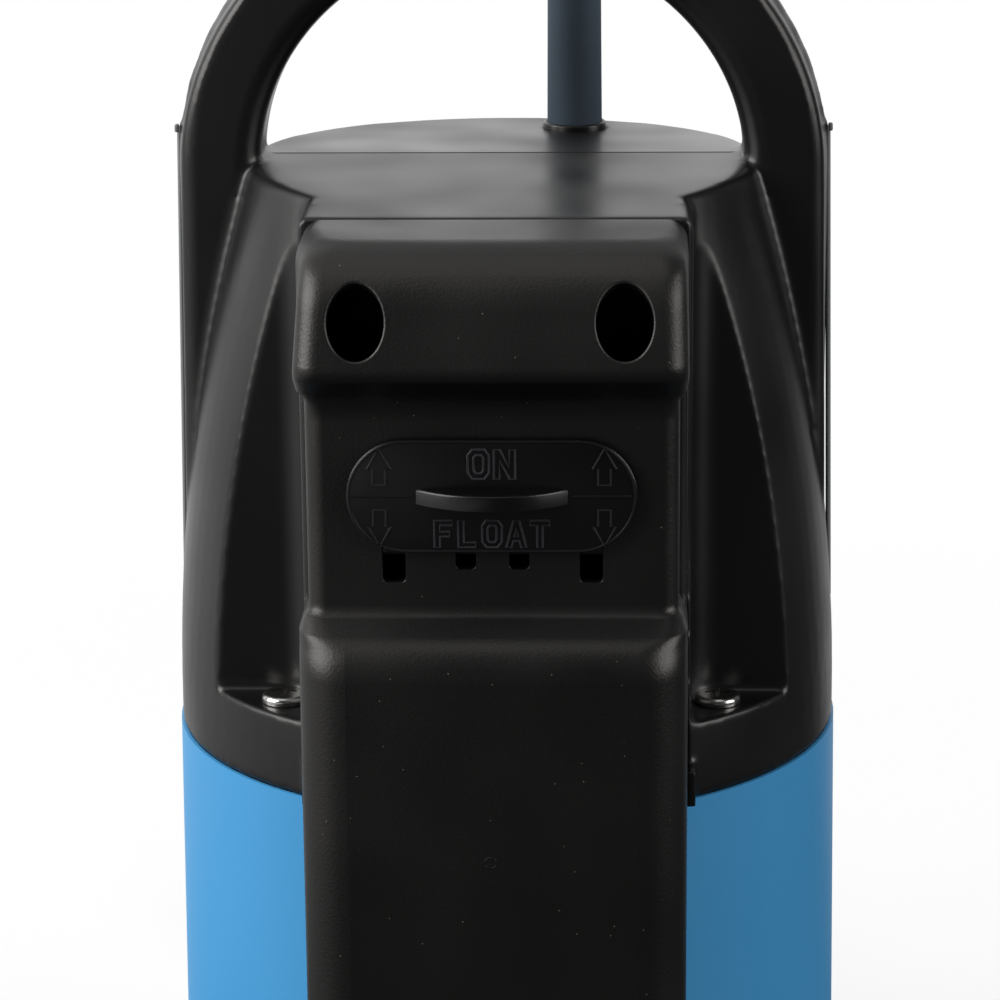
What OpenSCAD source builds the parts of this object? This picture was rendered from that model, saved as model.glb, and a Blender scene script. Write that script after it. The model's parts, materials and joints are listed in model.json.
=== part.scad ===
// Submersible sump pump with a carry handle, a float switch behind a front cover and a mains cord.
// Millimetres, +Z up. The origin is on the pump's axis, on the floor that the foot stands on.
// The float cover faces -Y, the discharge elbow and the coiled cord lie on the +Y side.

/* [Housing] */
// Outer radius of the jacket at its top rim
jacket_r = 75.5; // [73:0.5:82]
// Extra radius of the jacket at its lower rim
jacket_flare = 0.9; // [0:0.1:2]
// Step from the jacket's top rim in to the head's skirt
rim_step = 0.4; // [0.2:0.1:1]
// Wall of the moulded housings
wall = 3; // [2.6:0.1:3.4]
// Height of the strainer foot
foot_h = 44; // [44:1:50]
// Height of the jacket
jacket_h = 96; // [92:1:120]
// Height of the head from the seam to the deck
head_h = 130; // [124:1:140]
// Depth of the flat wall behind the float cover, in from the jacket's rim
flat_in = 15.5; // [13:0.5:16]

/* [Head] */
// Height of the plain skirt under the screw ledges
skirt_h = 17; // [13:1:20]
// Straight part of the skirt before the sides start to lean in
skirt_straight = 5; // [2:1:10]
// Radius at which the head's sides meet the deck
shoulder_r = 56.8; // [55:0.2:60]
// Fall of the deck from its middle line to front and back, in degrees
deck_fall = 2.4; // [1:0.2:4]
// Half width of the neck between the screw wells
neck_half = 41.5; // [41:0.5:43]
// Depth of the screw wells, back from the flat wall
well_in = 20; // [18:0.5:23]
// Fillet in the inner corner of each screw well
well_fillet = 6; // [3:0.5:7]
// Rounding of the neck's upper side edges
neck_round = 4; // [2:0.5:6]

/* [Handle] */
// How far the handle's legs stand in from the skirt
handle_inset = 2.7; // [2:0.1:5]
// Width of the handle's bar, seen from the front
handle_bar = 18.8; // [16:0.2:20]
// Depth of the handle's bar, front to back
handle_depth = 24; // [20:1:28]
// Height of the handle's top above the deck
handle_rise = 65; // [60:1:72]
// Rounding of the handle's outer edges
handle_edge = 3; // [1:0.5:5]
// Rounding of the handle's grip edges
handle_grip_edge = 5; // [3:0.5:7]
// How far the parting ridge stands proud at the legs' lower ends
ridge_proud = 2.2; // [1.8:0.1:2.6]

/* [Float cover] */
// Width of the cover
cover_w = 80.4; // [76:0.4:80.4]
// Wall of the cover
cover_wall = 2.5; // [2:0.1:3]
// Depth of the cover from the flat wall to its lower front face
cover_depth = 41; // [39:0.5:46]
// Depth of the cover from the flat wall to the recessed slider panel
panel_depth = 30; // [28:0.5:32]
// Depth of the cover from the flat wall to the hood's lip
hood_depth = 38; // [36:0.5:39]
// Height of the slider panel
panel_h = 44.8; // [42:0.2:50]
// Height of the hood above the panel
hood_h = 32.4; // [30:0.2:36]
// Height of the shoulder below the panel
cover_shoulder_h = 6.1; // [4:0.1:8]
// Rounding of the cover's upright edges
cover_round = 10; // [7:0.5:12]
// Gap under the cover
cover_gap = 10; // [6:1:14]
// Distance between the two vent holes
vent_spacing = 54.2; // [50:0.2:56]
// Width of a vent hole
vent_w = 11.5; // [8:0.5:13]
// Height of a vent hole
vent_h = 15; // [10:0.5:17]

/* [Slider] */
// Length of the slider's plate
slider_w = 59.6; // [54:0.4:62]
// Height of the slider's plate
slider_h = 23.8; // [22:0.2:26]
// Thickness of the slider's plate
slider_t = 1.6; // [1.2:0.1:2.4]
// Travel of the slider
slider_travel = 6.5; // [5:0.1:6.6]
// Distance between the two outer guide slots
outer_slots = 40.6; // [36:0.2:44]
// Distance between the two inner guide slots
inner_slots = 11; // [10:0.2:16]
// Width of the thumb grip
grip_w = 31; // [26:1:36]
// How far the thumb grip stands out
grip_out = 6; // [4:0.5:8]

/* [Float] */
// Width of the float
float_w = 66; // [58:1:66]
// Depth of the float, front to back
float_d = 30; // [24:1:30]
// Height of the float
float_h = 60; // [50:1:66]
// Travel of the float
float_travel = 62; // [50:1:62]
// Radius of the rod that guides the float
rod_r = 3; // [2:0.25:4]

/* [Pump] */
// Gap between the impeller and the volute's tongue
impeller_gap = 4; // [4:0.5:8]
// Number of impeller vanes
vanes = 6; // [4:1:8]
// Bore radius of the suction eye
eye_r = 15; // [12:0.5:17]
// Bore radius of the discharge
duct_r = 11.5; // [9:0.5:11.5]
// Radius of the outlet thread's bore
outlet_r = 19.5; // [16:0.5:21]
// Length of the outlet thread
outlet_len = 22; // [18:1:26]
// Number of inlet slots round the foot
inlet_slots = 36; // [24:4:44]
// Width of an inlet slot
inlet_w = 5; // [3:0.5:7]

/* [Motor] */
// Radius of the motor shaft
shaft_r = 6; // [5.5:0.25:7]
// Radius of the rotor
rotor_r = 29.5; // [26:0.5:31]
// Air gap between rotor and stator
air_gap = 0.5; // [0.4:0.1:1]
// Distance from the flat wall in to the motor can's bore
can_in = 8; // [7.5:0.1:10]
// Wall of the motor can
can_wall = 1.2; // [0.8:0.1:1.4]
// Height of the lamination stack
stack_h = 50; // [40:1:52]
// Height of each end winding
winding_h = 16; // [12:1:18]
// Outer radius of the ball bearings
bearing_r = 16; // [14:0.5:17]
// Width of the ball bearings
bearing_h = 10; // [8:1:11]
// Radius of the run capacitor
capacitor_r = 17.5; // [14:0.5:18]
// Height of the run capacitor
capacitor_h = 62; // [50:1:66]

/* [Fasteners] */
// Radius of the screws' shanks
screw_r = 2.4; // [2:0.1:2.6]
// Radius of the screws' heads
screw_head_r = 5; // [4:0.25:5.5]
// Height of the screws' heads
screw_head_h = 2.4; // [2:0.1:4]

/* [Cord] */
// Diameter of the cord
cord_d = 9; // [8:0.5:9]
// Radius of the strain relief at the deck
relief_r = 6.35; // [5.5:0.05:7]
// Turns in the coil's lower layer
coil_turns = 4; // [3:1:4]
// Distance between neighbouring turns of the coil
coil_pitch = 9.6; // [9.5:0.1:10]
// Radius of the coil's outermost turn
coil_r = 72; // [68:1:72]
// Width of the band that ties the coil
tie_w = 14; // [10:1:20]

/* [Hidden] */
$fn = 96;

// Colours as the photograph shows them, and the usual ones for what it hides
black = "#232324";
cover_black = "#1f1d1c";
blue = "#3f97d4";
rubber = "#181818";
cord_black = "#232a30";
steel = "#b9bbbd";
copper = "#b06a35";
iron = "#7c7f83";
cast_black = "#2b2b2d";
pale = "#d9d7cf";
aluminium = "#c8cacc";
case_grey = "#3a3d42";
board_green = "#2d5a3a";
lead_brown = "#8a5a2b";
brass = "#c9b37a";

// Clearances
fit_gap = 0.02;     // turned pieces on the same shaft
slip_gap = 0.1;     // pieces that push together
seat_gap = 0.2;     // moulded pieces that lie against each other
move_gap = 0.35;    // pieces that move past each other
eps = 0.01;         // overlap that keeps cuts clean

// Heights
seam_z = foot_h + jacket_h;
deck_z = seam_z + head_h;
ledge_z = seam_z + skirt_h;
plate_t = 8;
plate_z = foot_h + plate_t;

// Head
flat_y = jacket_r - flat_in;
well_y = flat_y - well_in;
channel_half = cover_w / 2 + seat_gap;
head_r = jacket_r - rim_step;
ogive_z = seam_z + skirt_straight;
ogive_rise = deck_z - ogive_z;
ogive_lean = head_r - shoulder_r;
ogive_arc = (ogive_rise * ogive_rise + ogive_lean * ogive_lean) / (2 * ogive_lean);
deck_edge = 2.2;
arch_z = deck_z - 2;
arch_out = head_r - handle_inset;
arch_in = arch_out - handle_bar;
arch_squash = (handle_rise + deck_z - arch_z) / arch_out;
leg_drop = head_h - skirt_h - 6;
ridge_half = 0.6;
ridge_lean = 1.8;
ridge_top = arch_z + 9;
ridge_low = ledge_z + 10;
neck_drop = 1.6;
screw_x = neck_half + 6;
screw_y = well_y + 7.5;
boss_r = 6.4;
screw_bite = 20;
gland_x = 15.5;
gland_y = 39.5;
gland_boss_r = relief_r + 4;
gland_boss_z = deck_z - 18;
latch_h = 8;
latch_w = 2;
latch_out = 8;
latch_in = 2;

// Jacket and foot
jacket_low_r = jacket_r + jacket_flare;
foot_r = jacket_low_r + 0.6;
groove_in = 0.8;
groove_w = 1.4;
groove_d = 1.2;
base_screw_in = 11.5;
base_screw_ring = jacket_r - base_screw_in;
base_screw_turns = [60, -20, -160, 175];
counterbore = 8;
foot_floor = 3;
foot_splay = 1;
post_top = 14;
post_r = 4;
post_ring = eye_r + 22;
floor_slot_in = eye_r + 28;
floor_slot_out = eye_r + 38;
floor_slot_half = 2;
inlet_low = foot_floor + 4;
inlet_high = foot_h - 10;
tongue_half = 14;
tongue_top = 20;
tongue_h = 8;
tongue_reach = 5;
rod_seat = 6;
cover_front = flat_y + cover_depth;
rod_y = (flat_y + cover_front - cover_wall) / 2 + 0.8;

// Float
float_z = tongue_top + 0.3;
magnet_w = 16;
magnet_h = 12;
magnet_t = 4;
magnet_drop = 6;
magnet_z = float_z + float_h - magnet_drop - magnet_h;
float_round = 6;
float_head = 7;
float_back = rod_y - float_d / 2;

// Float cover
cover_half = cover_w / 2;
cover_back = flat_y + seat_gap;
panel_front = flat_y + panel_depth;
hood_front = flat_y + hood_depth;
cover_top = deck_z - 2;
panel_top = cover_top - hood_h;
panel_low = panel_top - panel_h;
shoulder_low = panel_low - cover_shoulder_h;
panel_half = cover_half - 1.8;
strip_depth = 18;
lip_h = 7;
hood_lean = 6.5;
shoulder_round = 10;
panel_round = 3;
lip_round = 2.5;
corner_round = 5.5;
panel_edge = 4;
strip_edge = 2;
hood_edge = cover_round - 3;
vent_z = panel_top + 17.9;
vent_depth = 12;
vent_reach = 5;
drain_h = 18;
drain_half = 2.5;
drain_step = 12;
rib_t = 6;
rib_z = float_z + float_h + float_travel + float_head;
rod_low = tongue_top - rod_seat;
rod_high = rib_z + rib_t - 2;

// Mode slider, in its upper place
slider_z = panel_top - 19.2;
slider_back = panel_front + move_gap;
slot_top = slider_z + 1;
leg_end = panel_front - cover_wall - 4.5;
grip_h = 3.2;
keeper_t = 2;
keeper_margin = 6;
keeper_high = slot_top + 2;
keeper_drop = 1.5;
keeper_front = panel_front - cover_wall - move_gap;
slider_magnet_w = 5;
slider_magnet_h = 9;
slider_magnet_t = 3;
outer_slot_half = 2.4;
inner_slot_half = 2.1;
plate_low = slider_z - slider_h / 2;
outer_slot_low = plate_low - 7.1;
inner_slot_low = plate_low - 4.3;
// Guide slots: [x of the middle, half width, lower end, upper end]
slots = [for (side = [-1, 1]) each [
    [side * outer_slots / 2, outer_slot_half, outer_slot_low, slot_top],
    [side * inner_slots / 2, inner_slot_half, inner_slot_low, slot_top]]];
// Legs: the same four values, clear of their slots over the whole travel
legs = [for (s = slots) [s[0], s[1] - move_gap, s[2] + slider_travel + move_gap, s[3] - move_gap]];

// Pump
volute_growth = 12;
volute_wall = 3;
volute_room = 1.6;
volute_r0 = base_screw_ring - boss_r - volute_room - volute_wall - volute_growth;
impeller_r = volute_r0 - impeller_gap;
impeller_z = post_top + volute_wall + 3;
impeller_top = foot_h - 3;
shroud_z = impeller_top - 6;
shroud_t = 3;
vane_half = 1.4;
hub_wall = 5.5;
nut_flat = 3.2;
stub_r = shaft_r - 1;
nut_h = 5;
duct_wall = 3;
duct_z = foot_h - duct_r - duct_wall - 2.1;
duct_x = -(volute_r0 + volute_growth - duct_r - 1);
duct_end = foot_r + 8;
outlet_slot_gap = 24;

// Discharge elbow on its union nut
gasket_t = 1.5;
collar_t = 3;
elbow_wall = 2.1;
elbow_bend = 20;
nut_wall = 4.4;
nut_lip = 2.9;
collar_y = duct_end + gasket_t;
elbow_y = collar_y + collar_t + nut_lip + 2 + elbow_bend;
riser_z = duct_z + elbow_bend;
socket_z = riser_z + 16;
socket_step = 6;
socket_cone = 8;
outlet_z = socket_z + socket_step + outlet_len;
nut_grip = 8;
nut_rib_r = 1.6;
nut_rib_sink = 0.4;
elbow_out = duct_r + elbow_wall;
socket_wall = 4.5;

// Motor
can_r = flat_y - can_in;
seal_r = 13;
bearing_seat = 4;
bearing_wall = 4;
shaft_room = 2;
hub_top = plate_z + bearing_seat + bearing_h;
stack_z = hub_top + 2 + winding_h;
stator_in = rotor_r + air_gap;
winding_in = stator_in + 2;
winding_out = can_r - 6;
bracket_z = stack_z + stack_h + winding_h + 2;
bracket_seat = 3;
bracket_h = bearing_h + 6;
bracket_web = 4;
bracket_hole_r = 7;
can_top = bracket_z + bracket_h + 3;
shaft_low = impeller_z - nut_h - 2;
shaft_high = bracket_z + 4 + bearing_h;
lead_hole_x = 28;
lead_hole_r = 5;
cage_h = 6;
cage_w = 8;
stator_slots = 24;
stator_slot_w = 3.6;
stator_back = 4;
winding_round = 5;

// Electrical pieces in the head
cap_x = -16;
cap_y = 14;
block_x = 22;
block_y = 14;
block_h = 15;
block_w = 26;
block_d = 16;
switch_half = 17;
switch_d = 12;
switch_h = 50;
switch_z = can_top + 4;
switch_back = flat_y - wall - seat_gap;
reed_t = 1.8;
reed_half = 7;
reed_over = 20;
lead_step = 8.6;

// Cord entry
relief_top = deck_z + 48;
relief_taper = 0.2;
relief_tip = 14;
relief_lip = 0.9;
relief_flange = gland_boss_r - 0.5;
flange_t = 3;
gland_cap = 3;
gland_wall = 2.6;
gland_low = gland_boss_z - flange_t;
lead_r = 2.2;

// The cord's route from the relief's top, over and down behind the pump to the coil
cord_route = [
    [15.5, 39.5, 318], [15.5, 39.5, 332], [15.5, 46, 356], [15.5, 63.5, 373.5], [15.5, 87.5, 380],
    [15.5, 111.5, 373.5], [15.5, 129, 356], [15.5, 135.5, 332], [15.5, 136, 310], [15.5, 136, 285],
    [16, 136, 260], [17, 136, 235], [18.5, 136, 210], [20, 136, 185], [21.5, 136, 160],
    [23, 136, 135], [24.5, 136, 110],
    [25.5, 136, 85], [26, 136, 60], [26, 136, 41.5], [23, 136, 27.5], [15.5, 136, 16], [4, 136, 8.5],
    [-5, 136, 5.5], [-10, 136, 5.5]];
cord_r = cord_d / 2;
coil_start = cord_route[len(cord_route) - 1];
coil_lead = 9;
coil_x = coil_start[0] - coil_lead;
coil_y = coil_start[1] + coil_r;
coil_low = coil_start[2];
coil_climb = 0.5;
coil_dip = 2;
coil_back = coil_turns - 0.75;
loop_rings = 24;
lead_out = 50;
coil_inner = coil_r - coil_turns * coil_pitch;
coil_total = coil_turns + coil_climb + coil_back;
coil_last = coil_point(coil_total);
coil_path = concat([coil_start], [for (i = [0 : coil_total * loop_rings]) coil_point(i / loop_rings)],
    [coil_last - [0, lead_out / 2, 0], coil_last - [0, lead_out, 0]]);
// Least gap between turns that are not neighbours along the tube
coil_gap = min([for (i = [0 : len(coil_path) - 9], j = [i + 8 : len(coil_path) - 1])
    norm(coil_path[i] - coil_path[j])]) - cord_d;
echo(coil_least_gap = coil_gap);

// Plug
plug_tail = coil_last - [0, lead_out, 0];
plug_r = coil_low + coil_pitch;
plug_len = 46;
tail_len = 16;
tail_wall = 1.5;
plug_lean = 3;
plug_waist = 10;
// Blades: half the distance apart, half thickness, half width and length; pin: drop, radius and length
blade = [6.35, 0.75, 3.2, 16];
pin = [9, 2.4, 18];

// Functions for outlines

function unit(v) = v / norm(v);

// Points of the arc that rounds corner q between neighbours p and s
function corner_arc(p, q, s, r, n) =
    let (u = unit(p - q), v = unit(s - q), half = acos(u * v) / 2,
         c = q + unit(u + v) * r / sin(half), a = q + u * r / tan(half) - c, b = q + v * r / tan(half) - c,
         a0 = atan2(a[1], a[0]), turn = atan2(b[1], b[0]) - a0,
         sweep = turn > 180 ? turn - 360 : turn < -180 ? turn + 360 : turn)
    [for (i = [0 : n]) c + r * [cos(a0 + sweep * i / n), sin(a0 + sweep * i / n)]];

// An outline of [x, y, radius] corners with each corner rounded
function rounded(path, n = 6) =
    [for (i = [0 : len(path) - 1])
        let (m = len(path), p = path[(i + m - 1) % m], q = path[i], s = path[(i + 1) % m])
        each q[2] == 0 ? [[q[0], q[1]]] : corner_arc([p[0], p[1]], [q[0], q[1]], [s[0], s[1]], q[2], n)];

// Shared flat shapes

// A rectangle by its corners, with true round corners
module round_rect(x0, y0, x1, y1, r) {
    translate([x0 + r, y0]) square([x1 - x0 - 2 * r, y1 - y0]);
    translate([x0, y0 + r]) square([x1 - x0, y1 - y0 - 2 * r]);
    for (x = [x0 + r, x1 - r], y = [y0 + r, y1 - r]) translate([x, y]) circle(r);
}

// Places a flat X-Z outline upright, from y0 to y1
module upright(y0, y1) {
    translate([0, y1, 0]) rotate([90, 0, 0]) linear_extrude(y1 - y0) children();
}

// Places a flat outline of distance forward and height across the front, from -half to half
module across(half) {
    translate([half, 0, 0]) rotate([0, 0, -90]) rotate([90, 0, 0]) linear_extrude(2 * half) children();
}

// A box by its lowest and highest corners
module span(lo, hi) {
    translate(lo) cube(hi - lo);
}

// The housing's plan, set in by d: a circle with the flat-bottomed channel for the float cover
module plan(r, d) {
    difference() {
        circle(r - d);
        translate([-channel_half - d, -2 * r]) square([2 * (channel_half + d), 2 * r - flat_y + d]);
    }
}

// The ring between two insets of the housing's plan
module plan_ring(r, d0, d1) {
    difference() {
        plan(r, d0);
        plan(r, d1);
    }
}

// The channel for the float cover, grown by d towards the inside
module channel(d, z0, z1) {
    span([-channel_half - d, -2 * jacket_r, z0], [channel_half + d, -flat_y + d, z1]);
}

module tube(r_out, r_in, h) {
    difference() {
        cylinder(r = r_out, h = h);
        translate([0, 0, -1]) cylinder(r = r_in, h = h + 2);
    }
}

// Head

// Radius of the head's leaning side at height z, set in by d
function ogive_r(z, d) = head_r - ogive_arc + sqrt(pow(ogive_arc - d, 2) - pow(max(z - ogive_z, 0), 2));

// The head's revolved form, set in by d
module ogive(d, z0, top) {
    steps = 20;
    rise = top - deck_edge - ogive_z;
    side = [for (i = [0 : steps]) let (z = ogive_z + rise * i / steps) [ogive_r(z, d), z]];
    rotate_extrude() polygon(concat([[0, z0], [ogive_r(z0, d), z0]], side,
        [[ogive_r(top, d) - deck_edge, top], [0, top]]));
}

// Everything under the deck's two gentle slopes, lowered by d
module under_deck(d) {
    reach = 2 * jacket_r;
    top = deck_z - d;
    eave = top - reach * tan(deck_fall);
    rotate([0, 0, 90]) upright(-reach, reach)
        polygon([[-reach, 0], [reach, 0], [reach, eave], [0, top], [-reach, eave]]);
}

// The four corners outside the wells' walls, set back by d
module wells(d, z0) {
    r = well_fillet + d;
    for (sx = [-1, 1], sy = [-1, 1]) scale([sx, sy, 1]) translate([neck_half - d, well_y - d, z0 - d])
        linear_extrude(head_h) {
            translate([r, 0]) square(jacket_r);
            translate([0, r]) square(jacket_r);
            translate([r, r]) circle(r);
        }
}

module at_head_screws() {
    for ($sx = [-1, 1], $sy = [-1, 1]) translate([$sx * screw_x, $sy * screw_y, 0]) children();
}

// Half an oval ring on two straight legs, with a parting ridge down each leg
module handle() {
    translate([0, 0, arch_z]) scale([1, 1, arch_squash]) rotate([90, 0, 0]) rotate_extrude(angle = 180)
        handle_section();
    for (turn = [0, 180]) rotate([0, 0, turn]) {
        translate([0, 0, arch_z - leg_drop]) linear_extrude(leg_drop) handle_section();
        upright(-ridge_half, ridge_half) polygon([[arch_in + handle_bar / 2, ridge_top],
            [arch_out + ridge_proud - ridge_lean, ridge_top], [arch_out + ridge_proud, ridge_low],
            [arch_in + handle_bar / 2, ridge_low]]);
    }
}

// The bar's section: rounder towards the grip than outside
module handle_section() {
    h = handle_depth / 2;
    polygon(rounded([[arch_in, -h, handle_grip_edge], [arch_out, -h, handle_edge],
        [arch_out, h, handle_edge], [arch_in, h, handle_grip_edge]]));
}

// The block that carries the deck forward to the float cover
module neck() {
    top = deck_z - neck_drop;
    upright(-flat_y, 0) polygon(rounded([[-neck_half, seam_z, 0], [neck_half, seam_z, 0],
        [neck_half, top, neck_round], [-neck_half, top, neck_round]]));
}

// Two small ears beside the channel that the float cover snaps behind
module latches() {
    for (side = [-1, 1]) scale([side, 1, 1])
        span([channel_half, -flat_y - latch_out, seam_z],
            [channel_half + latch_w, -flat_y + latch_in, seam_z + latch_h]);
}

module head_cavity() {
    difference() {
        intersection() {
            union() {
                ogive(wall, seam_z - 1, deck_z);
                span([-neck_half + wall, -flat_y, seam_z], [neck_half - wall, 0, deck_z - 2 * wall]);
            }
            under_deck(wall);
        }
        wells(wall, ledge_z);
        channel(wall, seam_z - 2, deck_z);
        at_head_screws() translate([0, 0, seam_z - 1]) cylinder(r = boss_r, h = skirt_h);
        translate([gland_x, gland_y, gland_boss_z]) cylinder(r = gland_boss_r, h = 20);
    }
}

module head_cover() color(black)
    difference() {
        union() {
            intersection() {
                difference() {
                    union() {
                        ogive(0, seam_z, deck_z);
                        neck();
                    }
                    channel(0, seam_z - 1, deck_z + 1);
                }
                under_deck(0);
            }
            latches();
            handle();
        }
        head_cavity();
        wells(0, ledge_z);
        at_head_screws() translate([0, 0, seam_z - 1]) cylinder(r = screw_r + seat_gap, h = skirt_h + 2);
        translate([gland_x, gland_y, gland_boss_z - 1]) cylinder(r = relief_r + seat_gap, h = 30);
    }

// Jacket and foot

module at_base_screws() {
    for (turn = base_screw_turns) rotate([0, 0, turn]) translate([base_screw_ring, 0, 0]) children();
}

// A screw boss with the rib that ties it to the wall on its +X side
module boss(z0, z1) {
    translate([0, 0, z0]) cylinder(r = boss_r, h = z1 - z0);
    span([0, -boss_r / 2, z0], [jacket_r, boss_r / 2, z1]);
}

module jacket_form(d) {
    cylinder(r1 = jacket_low_r - d, r2 = jacket_r - d, h = jacket_h);
}

module motor_jacket() color(blue)
    difference() {
        union() {
            translate([0, 0, foot_h]) difference() {
                jacket_form(0);
                difference() {
                    jacket_form(wall);
                    channel(wall, -1, jacket_h + 1);
                }
                channel(0, -1, jacket_h + 1);
            }
            intersection() {
                union() {
                    at_head_screws() rotate([0, 0, atan2($sy * screw_y, $sx * screw_x)])
                        boss(plate_z, seam_z);
                    at_base_screws() boss(plate_z, plate_z + screw_bite + 4);
                }
                translate([0, 0, foot_h]) jacket_form(eps);
            }
        }
        at_head_screws() translate([0, 0, seam_z - screw_bite])
            cylinder(r = screw_r + slip_gap, h = screw_bite + 1);
        at_base_screws() translate([0, 0, plate_z - 1])
            cylinder(r = screw_r + slip_gap, h = screw_bite + 1);
        translate([0, 0, seam_z - groove_d]) linear_extrude(groove_d + 1)
            plan_ring(jacket_r, groove_in, groove_in + groove_w);
        translate([0, 0, foot_h - 1]) linear_extrude(groove_d + 1)
            plan_ring(jacket_low_r, groove_in, groove_in + groove_w);
    }

module head_gasket() color(rubber)
    translate([0, 0, seam_z - groove_d]) linear_extrude(groove_d)
        plan_ring(jacket_r, groove_in + slip_gap, groove_in + groove_w - slip_gap);

module base_gasket() color(rubber)
    translate([0, 0, foot_h]) linear_extrude(groove_d)
        plan_ring(jacket_low_r, groove_in + slip_gap, groove_in + groove_w - slip_gap);

// A pan-head screw along -Z, its head on z = 0, with a cross recess
module pan_screw(length) {
    dome = 1.1;
    crown = 0.5;
    edge = 0.3;
    slot = [0.55 * screw_head_r, 0.5, 1.5];
    difference() {
        union() {
            rotate_extrude() polygon(rounded([[0, 0, 0], [screw_head_r, 0, edge],
                [screw_head_r, screw_head_h - crown, dome], [screw_head_r / 3, screw_head_h, 0],
                [0, screw_head_h, 0]]));
            translate([0, 0, -length]) cylinder(r = screw_r, h = length + eps);
        }
        for (turn = [0, 90]) rotate([0, 0, turn])
            span([-slot[0], -slot[1], screw_head_h - slot[2]], [slot[0], slot[1], screw_head_h + 1]);
    }
}

module head_screws() color(steel)
    at_head_screws() translate([0, 0, ledge_z]) pan_screw(skirt_h + screw_bite - 2);

module base_screws() color(steel)
    at_base_screws() translate([0, 0, counterbore]) rotate([180, 0, 0])
        pan_screw(plate_z - counterbore + screw_bite - 2);

// Places children at each inlet slot's angle that has the plain round wall in front of it
module at_inlet_slots() {
    for (i = [0 : inlet_slots - 1]) {
        turn = 360 * (i + 0.5) / inlet_slots;
        x = foot_r * cos(turn);
        y = foot_r * sin(turn);
        clear_of_cover = y > -flat_y + 2 || abs(x) > channel_half + wall + inlet_w;
        clear_of_outlet = y < 0 || abs(x - duct_x) > outlet_slot_gap;
        if (clear_of_cover && clear_of_outlet) rotate([0, 0, turn]) children();
    }
}

module strainer_foot() color(cast_black)
    difference() {
        union() {
            difference() {
                cylinder(r1 = foot_r + foot_splay, r2 = foot_r, h = foot_h);
                difference() {
                    translate([0, 0, foot_floor]) cylinder(r = foot_r - wall, h = foot_h);
                    channel(wall, 0, foot_h + 1);
                }
                channel(0, -1, foot_h + 1);
            }
            intersection() {
                union() {
                    at_base_screws() translate([0, 0, eps]) boss(0, foot_h - eps);
                    for (turn = [45 : 90 : 315]) rotate([0, 0, turn])
                        translate([post_ring, 0, eps]) cylinder(r = post_r, h = post_top - eps);
                }
                cylinder(r = foot_r - 1, h = foot_h);
            }
            span([-tongue_half, -rod_y - rod_r - tongue_reach, tongue_top - tongue_h],
                [tongue_half, -flat_y + wall / 2, tongue_top]);
        }
        at_inlet_slots() span([foot_r - 2 * wall, -inlet_w / 2, inlet_low],
            [foot_r + wall, inlet_w / 2, inlet_high]);
        for (turn = [0 : 30 : 330]) rotate([0, 0, turn])
            span([floor_slot_in, -floor_slot_half, -1], [floor_slot_out, floor_slot_half, foot_floor + 1]);
        at_base_screws() {
            translate([0, 0, -1]) cylinder(r = screw_r + seat_gap, h = foot_h + 2);
            translate([0, 0, -1]) cylinder(r = screw_head_r + 0.5, h = counterbore + 1);
        }
        translate([0, -rod_y, rod_low]) cylinder(r = rod_r + fit_gap, h = rod_seat + 1);
        translate([duct_x, 0, duct_z]) rotate([-90, 0, 0])
            cylinder(r = duct_r + duct_wall + move_gap, h = 2 * foot_r);
    }

// Float cover

// The cover's side view as distance forward and height, with the front and top set in by d
function cover_side(d) = let (back = d == 0 ? cover_back : 0) rounded([
    [back, cover_gap - d, 0], [cover_front - d, cover_gap - d, 0],
    [cover_front - d, shoulder_low - d / 2, shoulder_round],
    [panel_front - d, panel_low - d / 2, panel_round],
    [panel_front - d, panel_top + d / 2, panel_round],
    [hood_front - d, panel_top + lip_h + d / 2, lip_round],
    [hood_front - hood_lean - d, cover_top - d, hood_lean], [back, cover_top - d, 0]]);

// The cover's plan up to distance front, with rounded front corners
module cover_plan(front, half, r) {
    polygon(rounded([[-half, 0, 0], [half, 0, 0], [half, -front, r], [-half, -front, r]], 10));
}

// The cover's front view, with rounded upper corners
module cover_face(half, top, r) {
    polygon(rounded([[-half, 0, 0], [half, 0, 0], [half, top, r], [-half, top, r]]));
}

// The cover's full form set in by d: hood, panel and lower part, each with its own plan
module cover_form(d) {
    half = cover_half - d;
    intersection() {
        across(cover_half) polygon(cover_side(d));
        upright(-cover_front - 1, 0) cover_face(half, cover_top - d, corner_round - d);
        union() {
            linear_extrude(panel_low) cover_plan(cover_front - d, half, cover_round - d);
            linear_extrude(panel_top + d) cover_plan(panel_front - d, panel_half - d, panel_edge - d);
            if (d == 0) linear_extrude(panel_top) cover_plan(cover_back + strip_depth, half, strip_edge);
            translate([0, 0, panel_top + d]) linear_extrude(hood_h)
                cover_plan(hood_front - d, half, hood_edge - d);
        }
    }
}

module float_cover() color(cover_black)
    difference() {
        union() {
            difference() {
                cover_form(0);
                cover_form(cover_wall);
                span([-cover_half - 1, -cover_back, 0], [cover_half + 1, 0, deck_z]);
            }
            // Rib that holds the top of the float's rod
            span([-cover_half + cover_wall / 2, -cover_front + cover_wall + 3, rib_z],
                [cover_half - cover_wall / 2, -rod_y + rod_r + 6, rib_z + rib_t]);
        }
        for (side = [-1, 1]) translate([side * vent_spacing / 2, -hood_front - vent_reach, vent_z])
            rotate([-90, 0, 0]) linear_extrude(vent_reach + cover_wall + vent_depth)
                scale([vent_w / vent_h, 1]) circle(d = vent_h);
        for (s = slots) span([s[0] - s[1], -panel_front - 1, s[2]],
            [s[0] + s[1], -panel_front + cover_wall + 1, s[3]]);
        for (i = [-2 : 2]) span([i * drain_step - drain_half, -cover_front - 1, cover_gap - 1],
            [i * drain_step + drain_half, -cover_front + cover_wall + 1, cover_gap + drain_h]);
        translate([0, -rod_y, rib_z - 1]) cylinder(r = rod_r + fit_gap, h = rod_high - rib_z + 1);
    }

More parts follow.
